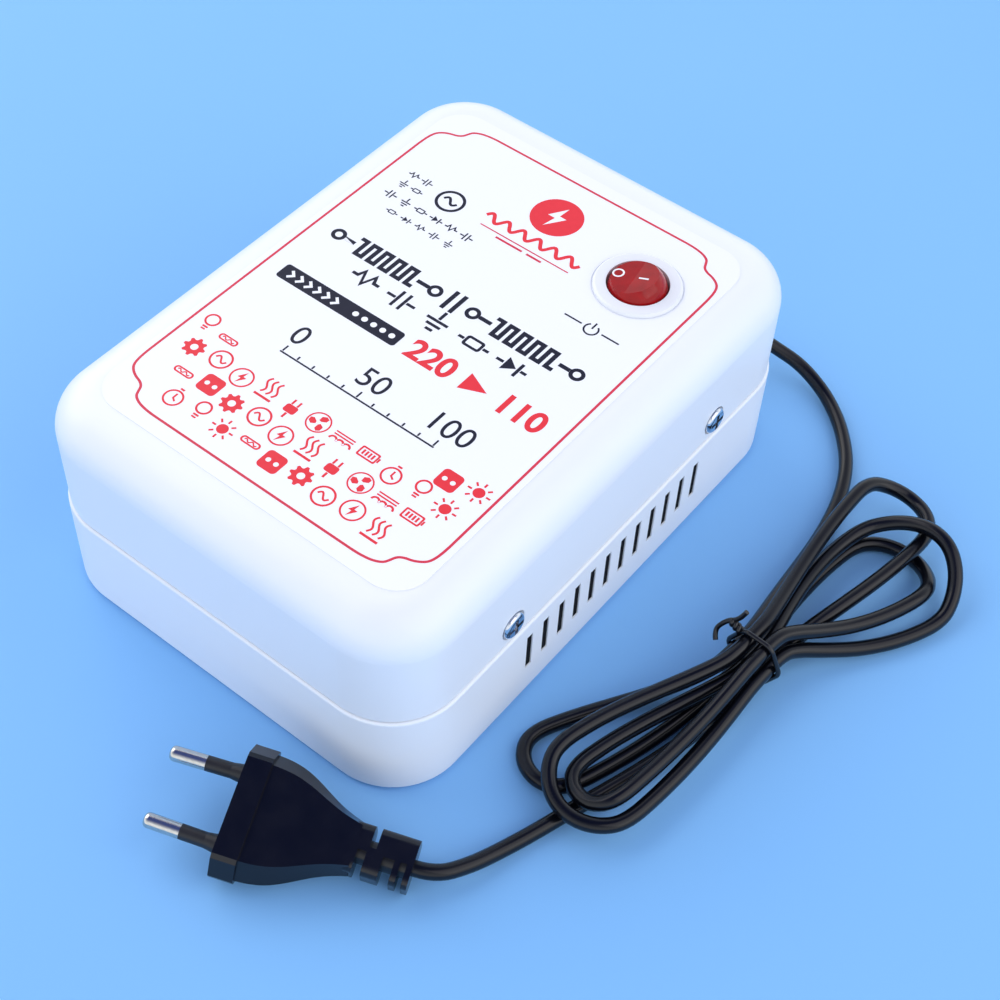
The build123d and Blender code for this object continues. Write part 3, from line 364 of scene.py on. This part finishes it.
# Extruded flexible PVC: blue-black, with a smooth skin that catches a long narrow highlight
cord_pvc = moulded("black_extruded_pvc", "#05060C", "#090B14", (0.18, 0.26), 0.7, 0.006, 14.0, 1.40)
# Moulded PVC plug: blue-black and glossy, so its flat face shows the dim ceiling and its sides the floor
plug_pvc = moulded("black_moulded_pvc", "#05060E", "#090A14", (0.18, 0.26), 0.4, 0.003, 7.0, 1.46)
# Plastic drawn over a wire: a shiny black like a thin line of highlight
tie_plastic = moulded("black_tie_plastic", "#07080D", "#0C0D14", (0.18, 0.26), 0.5, 0.010, 3.0, 1.50)
# Moulded rubber: dull black feet with a powdery bloom
foot_rubber = moulded("dull_black_rubber", "#1A1A1C", "#29292C", (0.70, 0.85), 0.6, 0.030, 4.0, 1.52)
# Open-cell foam behind the vent slots, as painted shade: the darkest thing here, all pores, standing in for
# the dark inside of the case so the slots read as holes
screen_foam = moulded("painted_shade_foam", "#030305", "#07070A", (0.88, 0.98), 0.9, 0.200, 5.0, 1.30)
# Moulded natural nylon: ivory and satin
bobbin_nylon = moulded("natural_nylon", "#DAD5C4", "#CDC6B2", (0.35, 0.45), 0.8, 0.010, 15.0, 1.53)
# Blown lamp glass: clear, with a faint warm tint
lamp_glass = moulded(
    "clear_lamp_glass", "#FFF0E6", "#F6DCCB", (0.02, 0.05), 2.0, 0.004, 5.0, 1.52,
    **{"Transmission Weight": 0.95},
)
# Nickel-plated brass, polished: bright bands along the pin, with faint marks
pin_nickel = worked_metal(
    "nickel_plated_brass", "#DCDAD4", "#B4B0A8", (0.10, 0.20), 0.5, 0.003, (0.3, 1.0, 1.0),
)
# Chromed steel: the bright screw heads, nearly a mirror
screw_chrome = worked_metal("chromed_steel", "#DDE0E5", "#C4C8CF", (0.08, 0.18), 0.4, 0.004, (1.0, 1.0, 1.0))
# Zinc-plated steel: a greyer and duller silver with a crystal mottle
zinc_steel = worked_metal(
    "zinc_plated_steel", "#BFC4C9", "#A4A9AF", (0.28, 0.42), 0.9, 0.006, (1.0, 1.0, 1.0),
)
# Spring steel wire, drawn: grey, with lines along the wire
spring_steel = worked_metal(
    "drawn_spring_steel", "#9A9DA2", "#7C7F85", (0.25, 0.38), 0.2, 0.003, (1.0, 1.0, 0.2),
)
# Stamped brass: yellow, with rolling marks along the strip
contact_brass = worked_metal("rolled_brass", "#D9B45E", "#BF9440", (0.22, 0.36), 0.3, 0.004, (0.15, 1.0, 1.0))
# Varnished steel plates 0.5 mm thick, stacked: dark grey edges with a groove between plates
core_steel = layered("stacked_core_plates", "#4A4B50", "#242529", (0.35, 0.50), 0.5, 0.10, "Z", 1.0)
# Enamelled copper wire 0.8 mm thick: shiny brown-red turns side by side
copper_wire = layered("enamelled_copper_turns", "#C56A34", "#5E2A12", (0.28, 0.36), 0.8, 0.25, "X", 1.0)
# Polyester tape: glossy yellow, wound so that an edge shows every 10 mm
yellow_tape = layered("wound_polyester_tape", "#E8C440", "#C79F22", (0.25, 0.35), 10.0, 0.06, "X", 0.0)


def insulation(name, colour, deep_colour):
    """Extruded PVC wire insulation: smooth, coloured right through, with a satin skin."""
    return moulded(name, colour, deep_colour, (0.35, 0.45), 0.6, 0.008, 12.0, 1.54)


def ink(name, colour, deep_colour):
    """Screen ink under the laminate: an even colour with a faint mottle, and the film's own gloss."""
    return moulded(name, colour, deep_colour, (0.30, 0.38), 0.3, 0.001, 2.0, 1.38)


border_ink = ink("border_red_ink", "#D8384F", "#D02E46")
red_ink = ink("bright_red_ink", "#E8333F", "#E02A38")
black_ink = ink("black_ink", "#060922", "#0A0D2A")
white_ink = ink("white_ink", "#F4F5F9", "#ECEEF4")

finishes = {
    "white_abs": white_abs,
    "printed_film": label_film,
    "foot_rubber": foot_rubber,
    # the slot foam is painted shade: a near-black sheet in place of the dark inside of the case
    "screen_foam": screen_foam,
    "screw_chrome": screw_chrome,
    "switch_bezel": bezel_nylon,
    "red_lens": red_lens,
    "black_nylon": black_nylon,
    "spring_steel": spring_steel,
    "contact_brass": contact_brass,
    "lamp_glass": lamp_glass,
    "core_steel": core_steel,
    "bobbin_nylon": bobbin_nylon,
    "copper_wire": copper_wire,
    "yellow_tape": yellow_tape,
    "zinc_steel": zinc_steel,
    "outlet_plastic": outlet_plastic,
    "cord_pvc": cord_pvc,
    "tie_plastic": tie_plastic,
    "plug_pvc": plug_pvc,
    "pin_nickel": pin_nickel,
    "sleeve_nylon": black_nylon,
    "brown_insulation": insulation("brown_pvc_insulation", "#5C3218", "#4A2711"),
    "blue_insulation": insulation("blue_pvc_insulation", "#1E57A8", "#174890"),
    "red_insulation": insulation("red_pvc_insulation", "#B3201E", "#981816"),
    "black_insulation": insulation("black_pvc_insulation", "#17171A", "#202024"),
    "white_insulation": insulation("white_pvc_insulation", "#E6E5E0", "#DAD8D1"),
}


def dress_solids():
    """Gives every solid of the model its finish."""
    for row in frame["record"]["subparts"]:
        for material_slot in frame["nodes"][row["node"]].material_slots:
            material_slot.material = finishes[row["material_slot"]]


dress_solids()


def fit(piece, body, finish):
    """Makes a new piece ride on its body, and gives it a slot holding its finish."""
    piece.data.materials.append(finish)
    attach(piece, body)
    return piece


# Tie: a plastic-covered wire pulled round the waist, its ends twisted together and bent away
tie_radius = 0.7
tie_gap = 0.1
tie_steps = 72
tie_twist_angle = radians(298)
tie_twist_length = 4.0
tie_twist_turns = 1.5
tie_twist_steps = 14
tie_tails = (
    ((10.5, -6.4, 0.6), (13.2, -5.6, 1.6)),
    ((7.2, -10.2, -1.2), (4.0, -11.6, -2.6), (2.6, -9.8, -4.2)),
)
tie_frame = Matrix((
    (0, cos(hank_turn), sin(hank_turn), hank_x),
    (0, -sin(hank_turn), cos(hank_turn), hank_y),
    (1, 0, 0, hank_height),
    (0, 0, 0, 1),
))


def tie_edge(angle):
    """A point of the tie's loop where it hugs the strands, and the way out from there."""
    centres = [Vector((up * strand_pitch, across * strand_pitch)) for across, up in waist_rows]
    away = Vector((cos(angle), sin(angle)))
    return max(centres, key=away.dot) + away * (cord_radius + tie_radius + tie_gap), away


def tie_end(strand, tail):
    """One end of the tie, in its frame: its part of the twist and then its tail."""
    start, away = tie_edge(tie_twist_angle)
    across = Vector((-away.y, away.x))
    points = []
    for i in range(tie_twist_steps + 1):
        share = i / tie_twist_steps
        turn = pi * strand + 2 * pi * tie_twist_turns * share
        middle = start + away * tie_twist_length * share + across * tie_radius * cos(turn)
        points.append((middle.x, middle.y, tie_radius * sin(turn)))
    return points + list(tail)


def add_spline(curve, points, closed):
    """A smooth line through the millimetres given, for a round wire."""
    spline = curve.splines.new("NURBS")
    spline.points.add(len(points) - 1)
    for point, spot in zip(spline.points, points):
        point.co = (*place(*spot), 1)
    spline.order_u = 3
    spline.use_endpoint_u = not closed
    spline.use_cyclic_u = closed


def round_wire(name, radius, lines, closed):
    """A curve of round wires, each a list of points and whether it closes on itself."""
    curve = bpy.data.curves.new(name, "CURVE")
    curve.dimensions = "3D"
    curve.bevel_depth = radius * MM
    curve.bevel_resolution = 5
    curve.resolution_u = 6
    curve.use_fill_caps = True
    for points, ring_shaped in zip(lines, closed):
        add_spline(curve, points, ring_shaped)
    return stand(bpy.data.objects.new(name, curve))


def make_tie():
    loop = [(*tie_edge(2 * pi * i / tie_steps)[0], 0) for i in range(tie_steps)]
    lines = [loop, *[tie_end(strand, tail) for strand, tail in enumerate(tie_tails)]]
    placed = [[tuple(tie_frame @ Vector(point)) for point in points] for points in lines]
    tie = round_wire("wire_tie", tie_radius, placed, (True, False, False))
    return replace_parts(fit(tie, "housing", tie_plastic), "cord_tie")


def make_cord():
    cord = round_wire("mains_cord", cord_radius, [cord_route()], (False,))
    fit(cord, "housing", cord_pvc)
    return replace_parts(cord, "cord_lead", "cord_hank", "cord_tail")


cord = make_cord()
tie = make_tie()


# Print on the label: outlines in millimetres on the film, where one inside another is a hole
film_top = 66.6
ink_rise = 0.03
circle_sides = 40
corner_steps = 6
wave_steps = 16
hump_steps = 12
least_turn_share = 0.5
figure_height_share = 0.7
label_frame = Matrix.Translation(place(0, 0, film_top))


def circle(x, y, radius):
    angles = [2 * pi * i / circle_sides for i in range(circle_sides)]
    return [(x + radius * cos(angle), y + radius * sin(angle)) for angle in angles]


def ring(x, y, radius, width):
    return [circle(x, y, radius), circle(x, y, radius - width)]


def block(x, y, width, height):
    """A rectangle by its middle."""
    a, b = width / 2, height / 2
    return [(x - a, y - b), (x + a, y - b), (x + a, y + b), (x - a, y + b)]


def round_block(x, y, width, height, radius):
    """A rectangle with round corners, by its middle."""
    points = []
    for corner, (side, end) in enumerate(((1, 1), (-1, 1), (-1, -1), (1, -1))):
        for i in range(corner_steps + 1):
            angle = pi / 2 * (corner + i / corner_steps)
            points.append((
                x + side * (width / 2 - radius) + radius * cos(angle),
                y + end * (height / 2 - radius) + radius * sin(angle),
            ))
    return points


def line(points, width, closed=False):
    """The edges of a line of a width through points: one outline, or two for a closed line."""
    count = len(points)
    left, right = [], []
    for i in range(count):
        here = Vector(points[i])
        before = Vector(points[i - 1]) if closed or i > 0 else here
        after = Vector(points[(i + 1) % count]) if closed or i < count - 1 else here
        first = (here - before).normalized()
        second = (after - here).normalized()
        ahead = (first + second).normalized()
        across = Vector((-ahead.y, ahead.x))
        spread = width / 2 / max(least_turn_share, ahead.dot(first if first.length else second))
        left.append(tuple(here + across * spread))
        right.append(tuple(here - across * spread))
    return [left, right] if closed else [left + right[::-1]]


def wave(x, y, length, height, turns, width):
    """A sine line round a middle."""
    steps = turns * wave_steps
    points = []
    for i in range(steps + 1):
        share = i / steps
        points.append((x + length * (share - 0.5), y + height / 2 * sin(2 * pi * turns * share)))
    return line(points, width)


def moved(outlines, x, y, size, turn=0.0):
    """Outlines drawn at another size, turn and place."""
    c, s = cos(turn) * size, sin(turn) * size
    return [[(x + px * c - py * s, y + px * s + py * c) for px, py in outline] for outline in outlines]


def printed(
    name, outlines, finish, kind="POLY", at=label_frame, rise=ink_rise, body="housing",
):
    """Ink that stands a little above what it is printed on."""
    shape = bpy.data.curves.new(name, "CURVE")
    shape.dimensions = "2D"
    shape.fill_mode = "BOTH"
    shape.extrude = rise * MM
    for outline in outlines:
        spline = shape.splines.new(kind)
        spline.points.add(len(outline) - 1)
        for point, (x, y) in zip(spline.points, outline):
            point.co = (x * MM, y * MM, 0, 1)
        spline.use_cyclic_u = True
        spline.order_u = 3
    piece = stand(bpy.data.objects.new(name, shape))
    piece.matrix_world = at
    return fit(piece, body, finish)


def numbers(name, text, x, y, height, finish, weight=0.0):
    """Plain numbers by their middle, as tall as given."""
    shape = bpy.data.curves.new(name, "FONT")
    shape.body = text
    shape.size = height / figure_height_share * MM
    shape.offset = weight * MM
    shape.align_x = "CENTER"
    shape.align_y = "CENTER"
    shape.extrude = ink_rise * MM
    piece = stand(bpy.data.objects.new(name, shape))
    piece.matrix_world = label_frame @ Matrix.Translation(place(x, y, 0))
    return fit(piece, "housing", finish)


# Border: a thin line with a step in each corner, given for the corner at +x and +y
border_width = 0.7
border_corner = (
    (30.1, 68.9), (33.4, 68.9), (36.0, 68.7), (38.5, 68.2), (40.6, 67.1), (41.3, 65.7), (42.0, 63.9),
    (43.5, 62.9), (45.5, 62.4), (47.5, 61.3), (48.8, 59.9), (49.4, 57.5), (49.6, 54.4), (49.6, 50.6),
)


def border_line():
    """The border's line, once round."""
    points = []
    for side, end in ((1, 1), (1, -1), (-1, -1), (-1, 1)):
        corner = [(side * x, end * y) for x, y in border_corner]
        points += corner if side == end else corner[::-1]
    return points


def coil(x, y, radius, humps, width):
    """The sign for a coil: humps side by side, from left to right."""
    points = []
    for hump in range(humps):
        middle = x + radius * (2 * hump + 1 - humps)
        for i in range(hump_steps + 1):
            angle = pi * i / hump_steps
            points.append((middle - radius * cos(angle), y + radius * sin(angle)))
    return line(points, width)


def winding(x, y, teeth, pitch, height, width):
    """The sign for a winding, drawn with square corners, by its middle."""
    points = [(x - teeth * pitch / 2, y - height / 2)]
    for i in range(2 * teeth):
        along = x - teeth * pitch / 2 + pitch * i / 2
        rise = y + height / 2 * (1 if i % 2 == 0 else -1)
        points += [(along, rise), (along + pitch / 2, rise)]
    return line(points[1:], width)


printed("label_border", line(border_line(), border_width, True), border_ink, "NURBS")

# Emblem: a bolt in a disc, with a wave and three rules below it
bolt = [[(0.12, 0.78), (-0.42, -0.08), (-0.06, -0.08), (-0.2, -0.78), (0.42, 0.14), (0.06, 0.14)]]
emblem_x = -0.5
emblem_y = 54.0
emblem_radius = 7.6
emblem_bolt_size = 6.4
emblem = [circle(emblem_x, emblem_y, emblem_radius)] + moved(bolt, emblem_x, emblem_y, emblem_bolt_size)
printed("label_emblem", emblem, red_ink)
printed("label_wave", wave(x=0.0, y=42.4, length=32.0, height=3.0, turns=6, width=1.1), red_ink)
rules = [
    block(x=0.0, y=38.4, width=30.0, height=0.4),
    block(x=-4.0, y=36.9, width=9.0, height=0.7),
    block(x=4.5, y=36.9, width=5.0, height=0.7),
]
printed("label_rules", rules, border_ink)

# Title: the sign for a transformer, two windings with a core between them
title_y = 10.0
title_line = 1.3
title_ring_radius = 2.2
title_ring_line = 1.1
title_ring_places = (-41.5, -7.6, 5.2, 39.3)
title_leads = ((-37.6, 3.6), (-11.8, 4.0), (9.4, 4.0), (35.4, 3.6))
title_winding_places = (-24.6, 22.4)
title_winding_teeth = 5
title_winding_pitch = 4.4
title_winding_height = 5.6
title_core_places = (-2.6, 0.2)
title_core_height = 7.6
title = [block(x, title_y, length, title_line) for x, length in title_leads]
title += [block(x, title_y, title_line, title_core_height) for x in title_core_places]
for x in title_ring_places:
    title += ring(x, title_y, title_ring_radius, title_ring_line)
for x in title_winding_places:
    title += winding(
        x, title_y, title_winding_teeth, title_winding_pitch, title_winding_height, title_line)
printed("label_transformer_sign", title, black_ink)

# Circuit signs: a resistor, a capacitor, an earth, a fuse and a diode, each two units across
circuit_signs = (
    line([(-1.0, 0.0), (-0.6, 0.0), (-0.4, 0.5), (0.0, -0.5), (0.4, 0.5), (0.6, 0.0), (1.0, 0.0)], 0.22),
    [
        block(-0.72, 0, 0.6, 0.2), block(-0.26, 0, 0.2, 1.4),
        block(0.26, 0, 0.2, 1.4), block(0.72, 0, 0.6, 0.2),
    ],
    [
        block(0, 0.56, 0.2, 0.7), block(0, 0.05, 1.5, 0.2),
        block(0, -0.35, 1.0, 0.2), block(0, -0.75, 0.5, 0.2),
    ],
    [
        block(-0.88, 0, 0.4, 0.2), block(0.88, 0, 0.4, 0.2),
        round_block(0, 0, 1.24, 0.84, 0.2), round_block(0, 0, 0.88, 0.48, 0.08),
    ],
    [
        [(-0.42, 0.55), (-0.42, -0.55), (0.36, 0.0)], block(0.52, 0, 0.2, 1.1),
        block(-0.76, 0, 0.5, 0.2), block(0.88, 0, 0.4, 0.2),
    ],
)


def sign_row(count, first_sign, x, y, pitch, size):
    """Circuit signs side by side, taken in turn."""
    outlines = []
    for i in range(count):
        sign = circuit_signs[(first_sign + i) % len(circuit_signs)]
        outlines += moved(sign, x + pitch * i, y, size)
    return outlines


large_signs = sign_row(count=5, first_sign=0, x=-24.5, y=1.5, pitch=12.25, size=4.6)
printed("label_circuit_signs", large_signs, black_ink)

# Source mark: a wave in a ring, with rows of small circuit signs beside and below it
source_x = -27.0
source_y = 40.0
source_mark = ring(source_x, source_y, radius=4.4, width=0.9)
source_mark += wave(source_x, source_y, length=4.6, height=2.2, turns=1, width=0.8)
source_mark += sign_row(count=2, first_sign=0, x=-41.5, y=41.8, pitch=4.6, size=1.9)
source_mark += sign_row(count=2, first_sign=2, x=-41.5, y=37.2, pitch=4.6, size=1.9)
source_mark += sign_row(count=6, first_sign=1, x=-41.5, y=31.6, pitch=5.4, size=2.1)
source_mark += sign_row(count=5, first_sign=3, x=-36.5, y=26.2, pitch=5.0, size=1.8)
printed("label_source_mark", source_mark, black_ink)

# Voltage row: a dark bar with white chevrons and dots, then bold numbers with an arrow between them
volts_y = -10.0
volts_height = 6.8
volts_weight = 0.28
bar_mark_pitch = 3.1
chevron_count = 6
chevron_x = -40.5
chevron_size = 1.4
dot_count = 5
dot_x = -18.0
dot_radius = 0.9
arrow_x = 18.6
arrow_length = 7.2
arrow_half_width = 3.2
bar = round_block(-23.5, volts_y, width=41.0, height=5.6, radius=1.0)
chevron = line([(-0.5, 1.0), (0.5, 0.0), (-0.5, -1.0)], 0.6)
bar_marks = [circle(dot_x + bar_mark_pitch * i, volts_y, dot_radius) for i in range(dot_count)]
for i in range(chevron_count):
    bar_marks += moved(chevron, chevron_x + bar_mark_pitch * i, volts_y, chevron_size)
arrow = [
    (arrow_x, volts_y - arrow_half_width),
    (arrow_x + arrow_length, volts_y),
    (arrow_x, volts_y + arrow_half_width),
]
printed("label_pill", [bar], black_ink)
printed("label_pill_marks", bar_marks, white_ink, rise=2 * ink_rise)
numbers("label_mains_volts", "220", 7.5, volts_y, volts_height, red_ink, volts_weight)
printed("label_arrow", [arrow], red_ink)
numbers("label_output_volts", "110", 36.5, volts_y, volts_height, red_ink, volts_weight)

# Scale: a ruled line with a tall mark and a number at every fifth step
scale_x = -23.5
scale_y = -32.0
scale_pitch = 5.0
scale_steps = 10
scale_line = 0.5
scale_tall_mark = 2.2
scale_short_mark = 1.2
scale_number_every = 5
scale_number_y = -25.4
scale_number_height = 6.6
scale = [block(x=1.5, y=-32.4, width=51.0, height=scale_line)]
for i in range(scale_steps + 1):
    mark = scale_short_mark if i % scale_number_every else scale_tall_mark
    scale.append(block(scale_x + scale_pitch * i, scale_y + mark / 2, scale_line, mark))
printed("label_scale", scale, black_ink)
for i, text in enumerate(("0", "50", "100")):
    x = scale_x + scale_pitch * scale_number_every * i
    numbers(f"label_scale_{text}", text, x, scale_number_y, scale_number_height, black_ink)

# Mark for the switch: an open ring with a bar in its gap, between two rules
power_x = 32.4
power_y = 25.4
power_radius = 2.0
power_line = 0.5
power_steps = 24
power_gap_share = 0.2
power_turn = []
for i in range(power_steps + 1):
    angle = pi * (power_gap_share + 2 * (1 - power_gap_share) * i / power_steps)
    power_turn.append((power_x + power_radius * sin(angle), power_y + power_radius * cos(angle)))
power_mark = line(power_turn, power_line) + [
    block(power_x, y=26.9, width=power_line, height=2.4),
    block(x=26.4, y=25.6, width=5.6, height=power_line),
    block(x=38.4, y=25.6, width=5.6, height=power_line),
]
printed("label_power_mark", power_mark, black_ink)

# Icons of the label, each drawn in a square two units across
ray_count = 8
blade_count = 3
tooth_count = 8
tooth_corners = 4
tooth_radius = 0.9
gap_radius = 0.68
sun_rays = []
for i in range(ray_count):
    sun_rays += moved([block(0, 0.78, 0.15, 0.34)], 0, 0, 1, 2 * pi / ray_count * i)
fan_blade = [[(0.10, 0.16), (0.42, 0.34), (0.46, 0.62), (0.18, 0.74), (-0.12, 0.56), (-0.10, 0.2)]]
fan_blades = []
for i in range(blade_count):
    fan_blades += moved(fan_blade, 0, 0, 1, 2 * pi / blade_count * i)
gear_corners = tooth_count * tooth_corners
gear_teeth = []
for i in range(gear_corners):
    gear_radius = tooth_radius if i % tooth_corners in (0, 1) else gap_radius
    angle = 2 * pi / gear_corners * i
    gear_teeth.append((gear_radius * cos(angle), gear_radius * sin(angle)))
heat_line = line([(0.18 * sin(pi * i / 6), -0.5 + 0.12 * i) for i in range(13)], 0.16)
icons = (
    ring(0, 0.25, 0.62, 0.16)
    + [round_block(0, -0.56, 0.5, 0.16, 0.06), round_block(0, -0.8, 0.4, 0.14, 0.06)],
    [round_block(0, 0, 1.0, 0.75, 0.2), block(0, -0.68, 0.18, 0.5)]
    + [block(side * 0.25, 0.66, 0.16, 0.5) for side in (-1, 1)],
    [round_block(0, 0, 1.7, 1.7, 0.35), circle(-0.35, 0, 0.2), circle(0.35, 0, 0.2)],
    [round_block(-0.08, 0, 1.6, 0.95, 0.14), round_block(-0.08, 0, 1.32, 0.67, 0.08)]
    + [block(0.82, 0, 0.14, 0.4)] + [block(-0.5 + 0.28 * i, 0, 0.16, 0.45) for i in range(4)],
    ring(0, 0, 0.92, 0.14) + moved(bolt, 0, 0, 0.8),
    [circle(0, 0, 0.44), *sun_rays],
    ring(0, 0, 0.95, 0.12) + fan_blades,
    [gear_teeth, circle(0, 0, 0.3)],
    ring(0, -0.1, 0.78, 0.15) + line([(0, 0.35), (0, -0.1), (0.3, -0.3)], 0.14)
    + [block(0, 0.86, 0.36, 0.16)],
    moved(heat_line, -0.5, 0.1, 1) + moved(heat_line, 0, 0.1, 1) + moved(heat_line, 0.5, 0.1, 1)
    + [block(0, -0.75, 1.5, 0.2)],
    [round_block(0, 0, 1.7, 0.6, 0.28), round_block(0, 0, 1.4, 0.34, 0.16)] + wave(0, 0, 1.1, 0.2, 2, 0.1),
    coil(0, -0.2, 0.3, 3, 0.16) + [block(0, 0.35, 1.7, 0.12), block(0, 0.6, 1.7, 0.12)],
    ring(0, 0, 0.9, 0.16) + wave(0, 0, 1.0, 0.5, 1, 0.15),
)
icon_size = 3.6
icon_pitch = 8.3
icon_stagger = 1.2
icon_order = 5
icon_rows = ((11, -45.6), (10, -53.6), (9, -61.2))
icon_spots = [(-44.6, -36.5), (44.6, -36.5), (-36.6, -38.2), (36.6, -38.2)]
for row_length, row_y in icon_rows:
    for step in range(row_length):
        icon_x = icon_pitch * (step - (row_length - 1) / 2)
        icon_spots.append((icon_x, row_y + icon_stagger * (step % 2)))
for count, (icon_x, icon_y) in enumerate(icon_spots):
    icon = icons[count * icon_order % len(icons)]
    printed(f"label_icon_{count + 1}", moved(icon, icon_x, icon_y, icon_size), red_ink)

# Marks on the rocker, one on each of its two sloping faces
pivot_height = 64.4
switch_x = 32.2
switch_y = 46.6
switch_turn = radians(10.0)
rocker_tilt = radians(12.0)
rocker_ball_radius = 8.45
rocker_edge_height = 5.4
rocker_dish = 0.5
rocker_frame = (
    Matrix.Translation(place(switch_x, switch_y, pivot_height))
    @ Matrix.Rotation(switch_turn, 4, "Z")
    @ Matrix.Rotation(-rocker_tilt, 4, "Y")
)
rocker_slope = atan2(rocker_dish, sqrt(rocker_ball_radius ** 2 - rocker_edge_height ** 2))


def rocker_mark(name, outlines, side):
    """A mark on one side of the rocker, measured from the valley between its faces."""
    valley = Matrix.Translation(place(0, 0, rocker_edge_height - rocker_dish))
    face = valley @ Matrix.Rotation(-side * rocker_slope, 4, "Y")
    printed(name, outlines, white_ink, at=rocker_frame @ face, body="rocker")


rocker_mark("rocker_mark_off", ring(x=-4.9, y=0, radius=1.7, width=0.5), -1)
rocker_mark("rocker_mark_on", [block(x=2.6, y=0, width=2.9, height=0.55)], 1)

# Floor: plain pale blue board that keeps the shadow
floor_finish = moulded("pale_blue_board", "#84BFF4", "#7DB9F0", (0.6, 0.7), 3.0, 0.01, 400.0, 1.45)
floor_half = 3.0


def make_floor():
    mesh = bmesh.new()
    sides = ((-1, -1), (1, -1), (1, 1), (-1, 1))
    mesh.faces.new([mesh.verts.new((x * floor_half, y * floor_half, 0)) for x, y in sides])
    data = bpy.data.meshes.new("floor")
    mesh.to_mesh(data)
    mesh.free()
    data.materials.append(floor_finish)
    floor = stand(bpy.data.objects.new("floor", data))


def lamp(name, at, aim, size, power, colour):
    """A soft square lamp pointed at a place."""
    light = bpy.data.lights.new(name, "AREA")
    light.size = size
    light.energy = power
    light.color = linear(colour)[:3]
    thing = stand(bpy.data.objects.new(name, light))
    thing.matrix_world = Matrix.Translation(at) @ (at - aim).to_track_quat("Z", "Y").to_matrix().to_4x4()


# Studio: where the bright walls end and the dim ceiling starts, as sines of the angle above the floor
backdrop_colour = "#A9D2FA"
wall_colour = "#F2F8FF"
ceiling_colour = "#3A4A86"
wall_top = 0.45
ceiling_start = 0.95
sky_strength = 1.34

# Softboxes on both sides, in metres and watts
softbox_aim = place(20, 0, 30)
softbox_size = 1.3
softbox_colour = "#FFFAF4"
softboxes = (("left_softbox", (-0.95, 0.0, 0.9), 8.3), ("right_softbox", (0.9, 0.1, 0.9), 6.0))


def make_sky():
    """A studio round the table: bright walls below a dim ceiling, seen as a plain pale blue backdrop."""
    world = bpy.data.worlds.new("studio")
    world.use_nodes = True
    tree = world.node_tree
    tree.nodes.clear()
    way = add(tree, "ShaderNodeTexCoord").outputs["Generated"]
    height = add(tree, "ShaderNodeSeparateXYZ", {"Vector": way}).outputs["Z"]
    share = add(tree, "ShaderNodeMapRange", {
        "Value": height, "From Min": wall_top, "From Max": ceiling_start, "To Min": 0.0, "To Max": 1.0,
    })
    colour = add(tree, "ShaderNodeMix", {
        0: share.outputs["Result"], 6: linear(wall_colour), 7: linear(ceiling_colour),
    }, data_type="RGBA")
    sky = add(tree, "ShaderNodeBackground", {"Color": colour.outputs[2], "Strength": sky_strength})
    backdrop = add(tree, "ShaderNodeBackground", {"Color": linear(backdrop_colour)})
    seen = add(tree, "ShaderNodeLightPath").outputs["Is Camera Ray"]
    both = add(tree, "ShaderNodeMixShader", {
        0: seen, 1: sky.outputs["Background"], 2: backdrop.outputs["Background"],
    })
    add(tree, "ShaderNodeOutputWorld", {"Surface": both.outputs["Shader"]})
    bpy.context.scene.world = world


make_floor()
make_sky()
for name, at, power in softboxes:
    lamp(name, Vector(at), softbox_aim, softbox_size, power, softbox_colour)
bpy.context.scene.view_settings.view_transform = "Standard"
